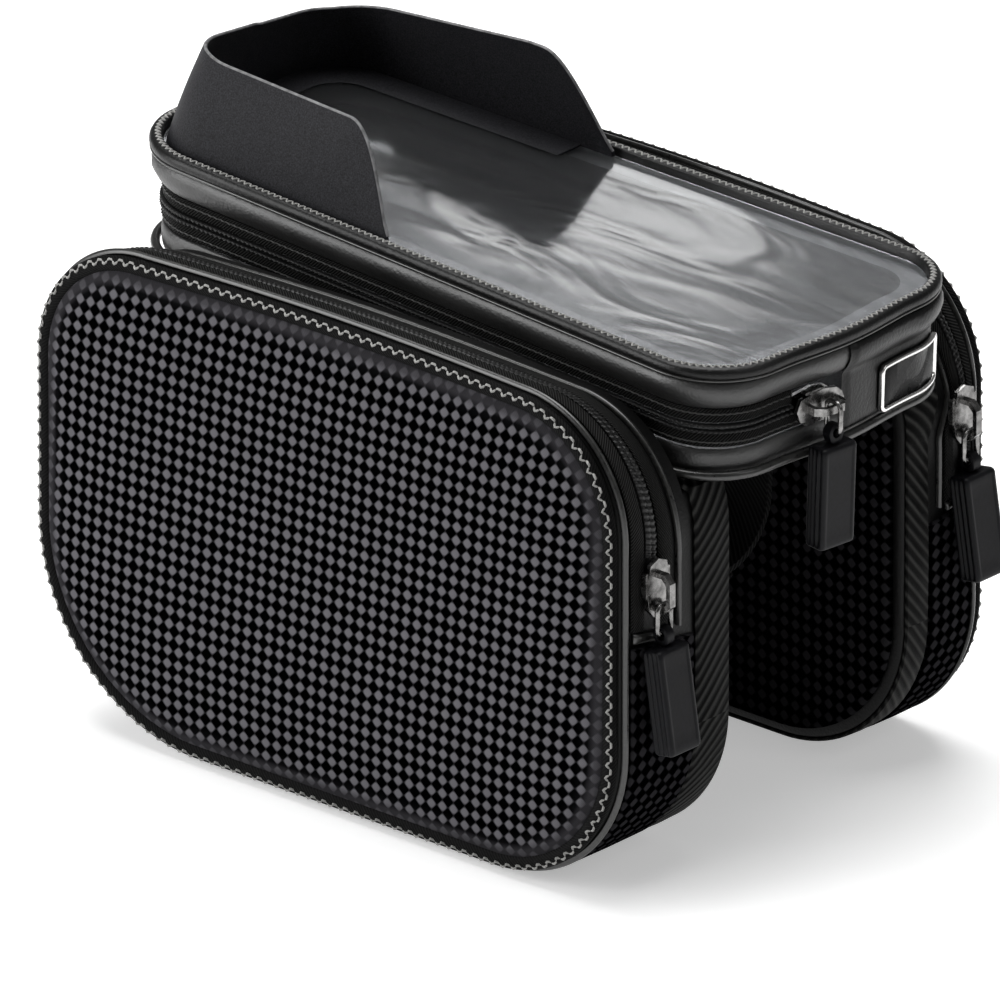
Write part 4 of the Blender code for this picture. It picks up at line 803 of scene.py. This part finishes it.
# Links and pullers: an oval wire link hangs in each slider's crown, and a moulded rubber puller hangs in the link.
# The puller has a grooved grip on its narrow sides and a flat bare face.
rubber, shader = material("moulded rubber", (0.003, 0.003, 0.004), 0.42, specular=0.16)
where = node(rubber, "TexCoord").outputs["Object"]
dust = node(rubber, "TexNoise", Vector=where, Scale=900.0, Detail=4.0).outputs[0]
shade(rubber, shader, "Base Color", dust, 0.3, 0.75, (0.0015, 0.0015, 0.002), (0.006, 0.006, 0.008))
shade(rubber, shader, "Roughness", dust, 0.34, 0.58)
bump(rubber, shader, dust, 0.25, 0.0001)
LEAN = math.radians(9.0)
pulls = []
for name, body, pin, hang in (("near_pouch", "near", (90.588, -53.7, 76.65), (90.588, -53.7, 68.95)),
                              ("far_pouch", "far", (90.588, 56.711, 85.65), (90.588, 56.711, 77.95))):
    lean = np.array([[math.cos(LEAN), 0, -math.sin(LEAN)], [0, 1, 0], [math.sin(LEAN), 0, math.cos(LEAN)]])
    pulls.append((name, body, np.eye(3), pin, lean, hang, 0.0, True))
travel = np.array([-0.10279, -0.9947, 0.00359])
outward = np.array([0.99409, -0.10285, -0.03471])
upward = np.cross(travel, outward)
top_turn = np.stack([travel, -outward, upward], 1)
top_lean = np.stack([outward, -travel, upward], 1)
pulls.append(("top", "top", top_turn, (99.446, -3.02, 112.831), top_lean, (99.245, -3.02, 107.084), 1.95, False))


def puller_rings(length_from, length_to):
    """Sections down a puller: a rounded bar 11 mm by 6 mm, drawn in at its two ends, with two grooves on each side.
    x is through its thickness, y across it."""
    drops = [(length_from, 0.55), (length_from - 0.12, 0.78), (length_from - 0.55, 0.93), (length_from - 1.2, 1.0)]
    drops += [(z, 1.0) for z in np.linspace(length_from - 2.5, length_to + 2.5, 8)]
    drops += [(length_to + 1.2, 1.0), (length_to + 0.5, 0.93), (length_to + 0.12, 0.78), (length_to, 0.55)]
    section = rounded(-3.0, 3.0, -5.5, 5.5, 1.0, 104)
    narrow = (abs(section[:, 1]) > 5.2) & (abs(section[:, 0]) < 2.2)
    rings = []
    for z, share in drops:
        scale = np.array([3.0 - (1 - share) * 2.2, 5.5 - (1 - share) * 2.2]) / np.array([3.0, 5.5])
        ring = section * scale
        if length_to + 1 < z < length_from - 1:
            groove = 0.42 * (0.5 - 0.5 * np.cos(2 * np.pi * (section[:, 0] + 2.2) / 1.46))
            ring[:, 1] -= np.where(narrow, np.sign(ring[:, 1]) * groove, 0)
            face = (abs(section[:, 0]) > 2.9) & (abs(section[:, 1]) < 3.9)
            ring[:, 0] -= np.where(face & (z < length_from - 2) & (z > length_to + 2), np.sign(ring[:, 0]) * 0.18, 0)
        rings.append(np.concatenate([ring, np.full((len(ring), 1), z)], 1))
    return np.array(rings)


for name, body, turn, pin, lean, hang, rise, across in pulls:
    loop = rounded(-2.35, 2.35, -7.7, 0, 1.6, 44)
    line = np.concatenate([np.zeros((len(loop), 1)), loop], 1)
    wire = bead_path(line, 0.65, 12, (1.0, 0, 0))
    wire = wire + [0, 0, rise]
    wire = wire @ turn.T + pin - SHIFT
    dress(surface(f"{name}_wire_link", wire, along=True), plated, "gunmetal", f"{body}_link", f"{name}_pull_link")
    bar = puller_rings(-2.8, -29.0) @ lean.T + np.array(hang) - SHIFT
    grip = surface(f"{name}_grip", bar)
    a = 2 * np.pi * np.arange(24) / 24
    eye = []
    for r, w in ((1.25, -1.3), (1.25, 1.3), (1.5, 1.38), (2.05, 1.38), (2.3, 1.2), (2.3, -1.2), (2.05, -1.38),
                 (1.5, -1.38)):
        foot = np.where(np.sin(a) < -0.5, 0.5 * (r > 2), 0)
        flat = np.stack([r * np.cos(a), np.full(24, w), r * np.sin(a) - foot], -1)
        eye.append(flat if across else flat[:, [1, 0, 2]])
    eye = np.stack(eye, 1) @ lean.T + np.array(hang) - SHIFT
    ring = surface(f"{name}_grip_eye", eye, along=True)
    bpy.ops.object.select_all(action="DESELECT")
    ring.select_set(True)
    grip.select_set(True)
    bpy.context.view_layer.objects.active = grip
    bpy.ops.object.join()
    dress(grip, rubber, "rubber", f"{body}_puller", f"{name}_puller")

# Studio: a white floor that keeps a soft shadow, a pale surround that only the eye sees, three soft boxes, and a
# small card behind the far side that the window mirrors as a band of glare.
mesh = bpy.data.meshes.new("floor")
mesh.from_pydata([(-6, -6, -0.0004), (6, -6, -0.0004), (6, 6, -0.0004), (-6, 6, -0.0004)], [], [(0, 1, 2, 3)])
floor = bpy.data.objects.new("floor", mesh)
bpy.context.scene.collection.objects.link(floor)
white, shader = material("white floor", (0.9, 0.9, 0.9), 0.9, specular=0.1)
mesh.materials.append(white)
paths = node(white, "LightPath")
seen = maths(white, "MAXIMUM", paths.outputs["Is Camera Ray"], maths(white, "MAXIMUM", paths.outputs["Is Glossy Ray"],
             paths.outputs["Is Transmission Ray"]))
shader.inputs["Emission Color"].default_value = (1, 1, 1, 1)
white.node_tree.links.new(maths(white, "MULTIPLY", seen, 0.4), shader.inputs["Emission Strength"])

world = bpy.data.worlds.new("pale surround")
bpy.context.scene.world = world
world.use_nodes = True
sky = world.node_tree.nodes["Background"]
sky.inputs["Color"].default_value = (1, 1, 1, 1)
paths = node(world, "LightPath")
seen = maths(world, "MAXIMUM", paths.outputs["Is Camera Ray"], paths.outputs["Is Transmission Ray"])
world.node_tree.links.new(maths(world, "ADD", 0.13, maths(world, "MULTIPLY", seen, 0.87)), sky.inputs["Strength"])

for name, place, power, size in (("overhead box", (-0.2, 0.15, 1.4), 24.0, 1.2),
                                 ("rear box", (1.2, 0.2, 1.0), 1.5, 0.5),
                                 ("near box", (-0.95, -1.2, 0.62), 20.0, 1.1),
                                 ("far card", (-0.638, 0.793, 0.577), 0.07, 0.09)):
    lamp = bpy.data.lights.new(name, "AREA")
    lamp.energy = power
    lamp.size = size
    box = bpy.data.objects.new(name, lamp)
    bpy.context.scene.collection.objects.link(box)
    box.location = place
    box.rotation_euler = (Vector((0, 0, 0.08)) - Vector(place)).to_track_quat("-Z", "Y").to_euler()

# Camera: far away with a long lens, because the photograph's lines are almost parallel. It looks from the rear left
# and from above.
lens = bpy.data.cameras.new("camera")
lens.sensor_width = 36.0
lens.lens = 1500.0
lens.clip_end = 30.0
camera = bpy.data.objects.new("camera", lens)
bpy.context.scene.collection.objects.link(camera)
camera.location = (6.016, -6.833, 3.981)
camera.rotation_euler = (Vector((-0.024, 0.0179, 0.0476)) - camera.location).to_track_quat("-Z", "Y").to_euler()
bpy.context.scene.camera = camera
bpy.context.scene.view_settings.view_transform = "Standard"
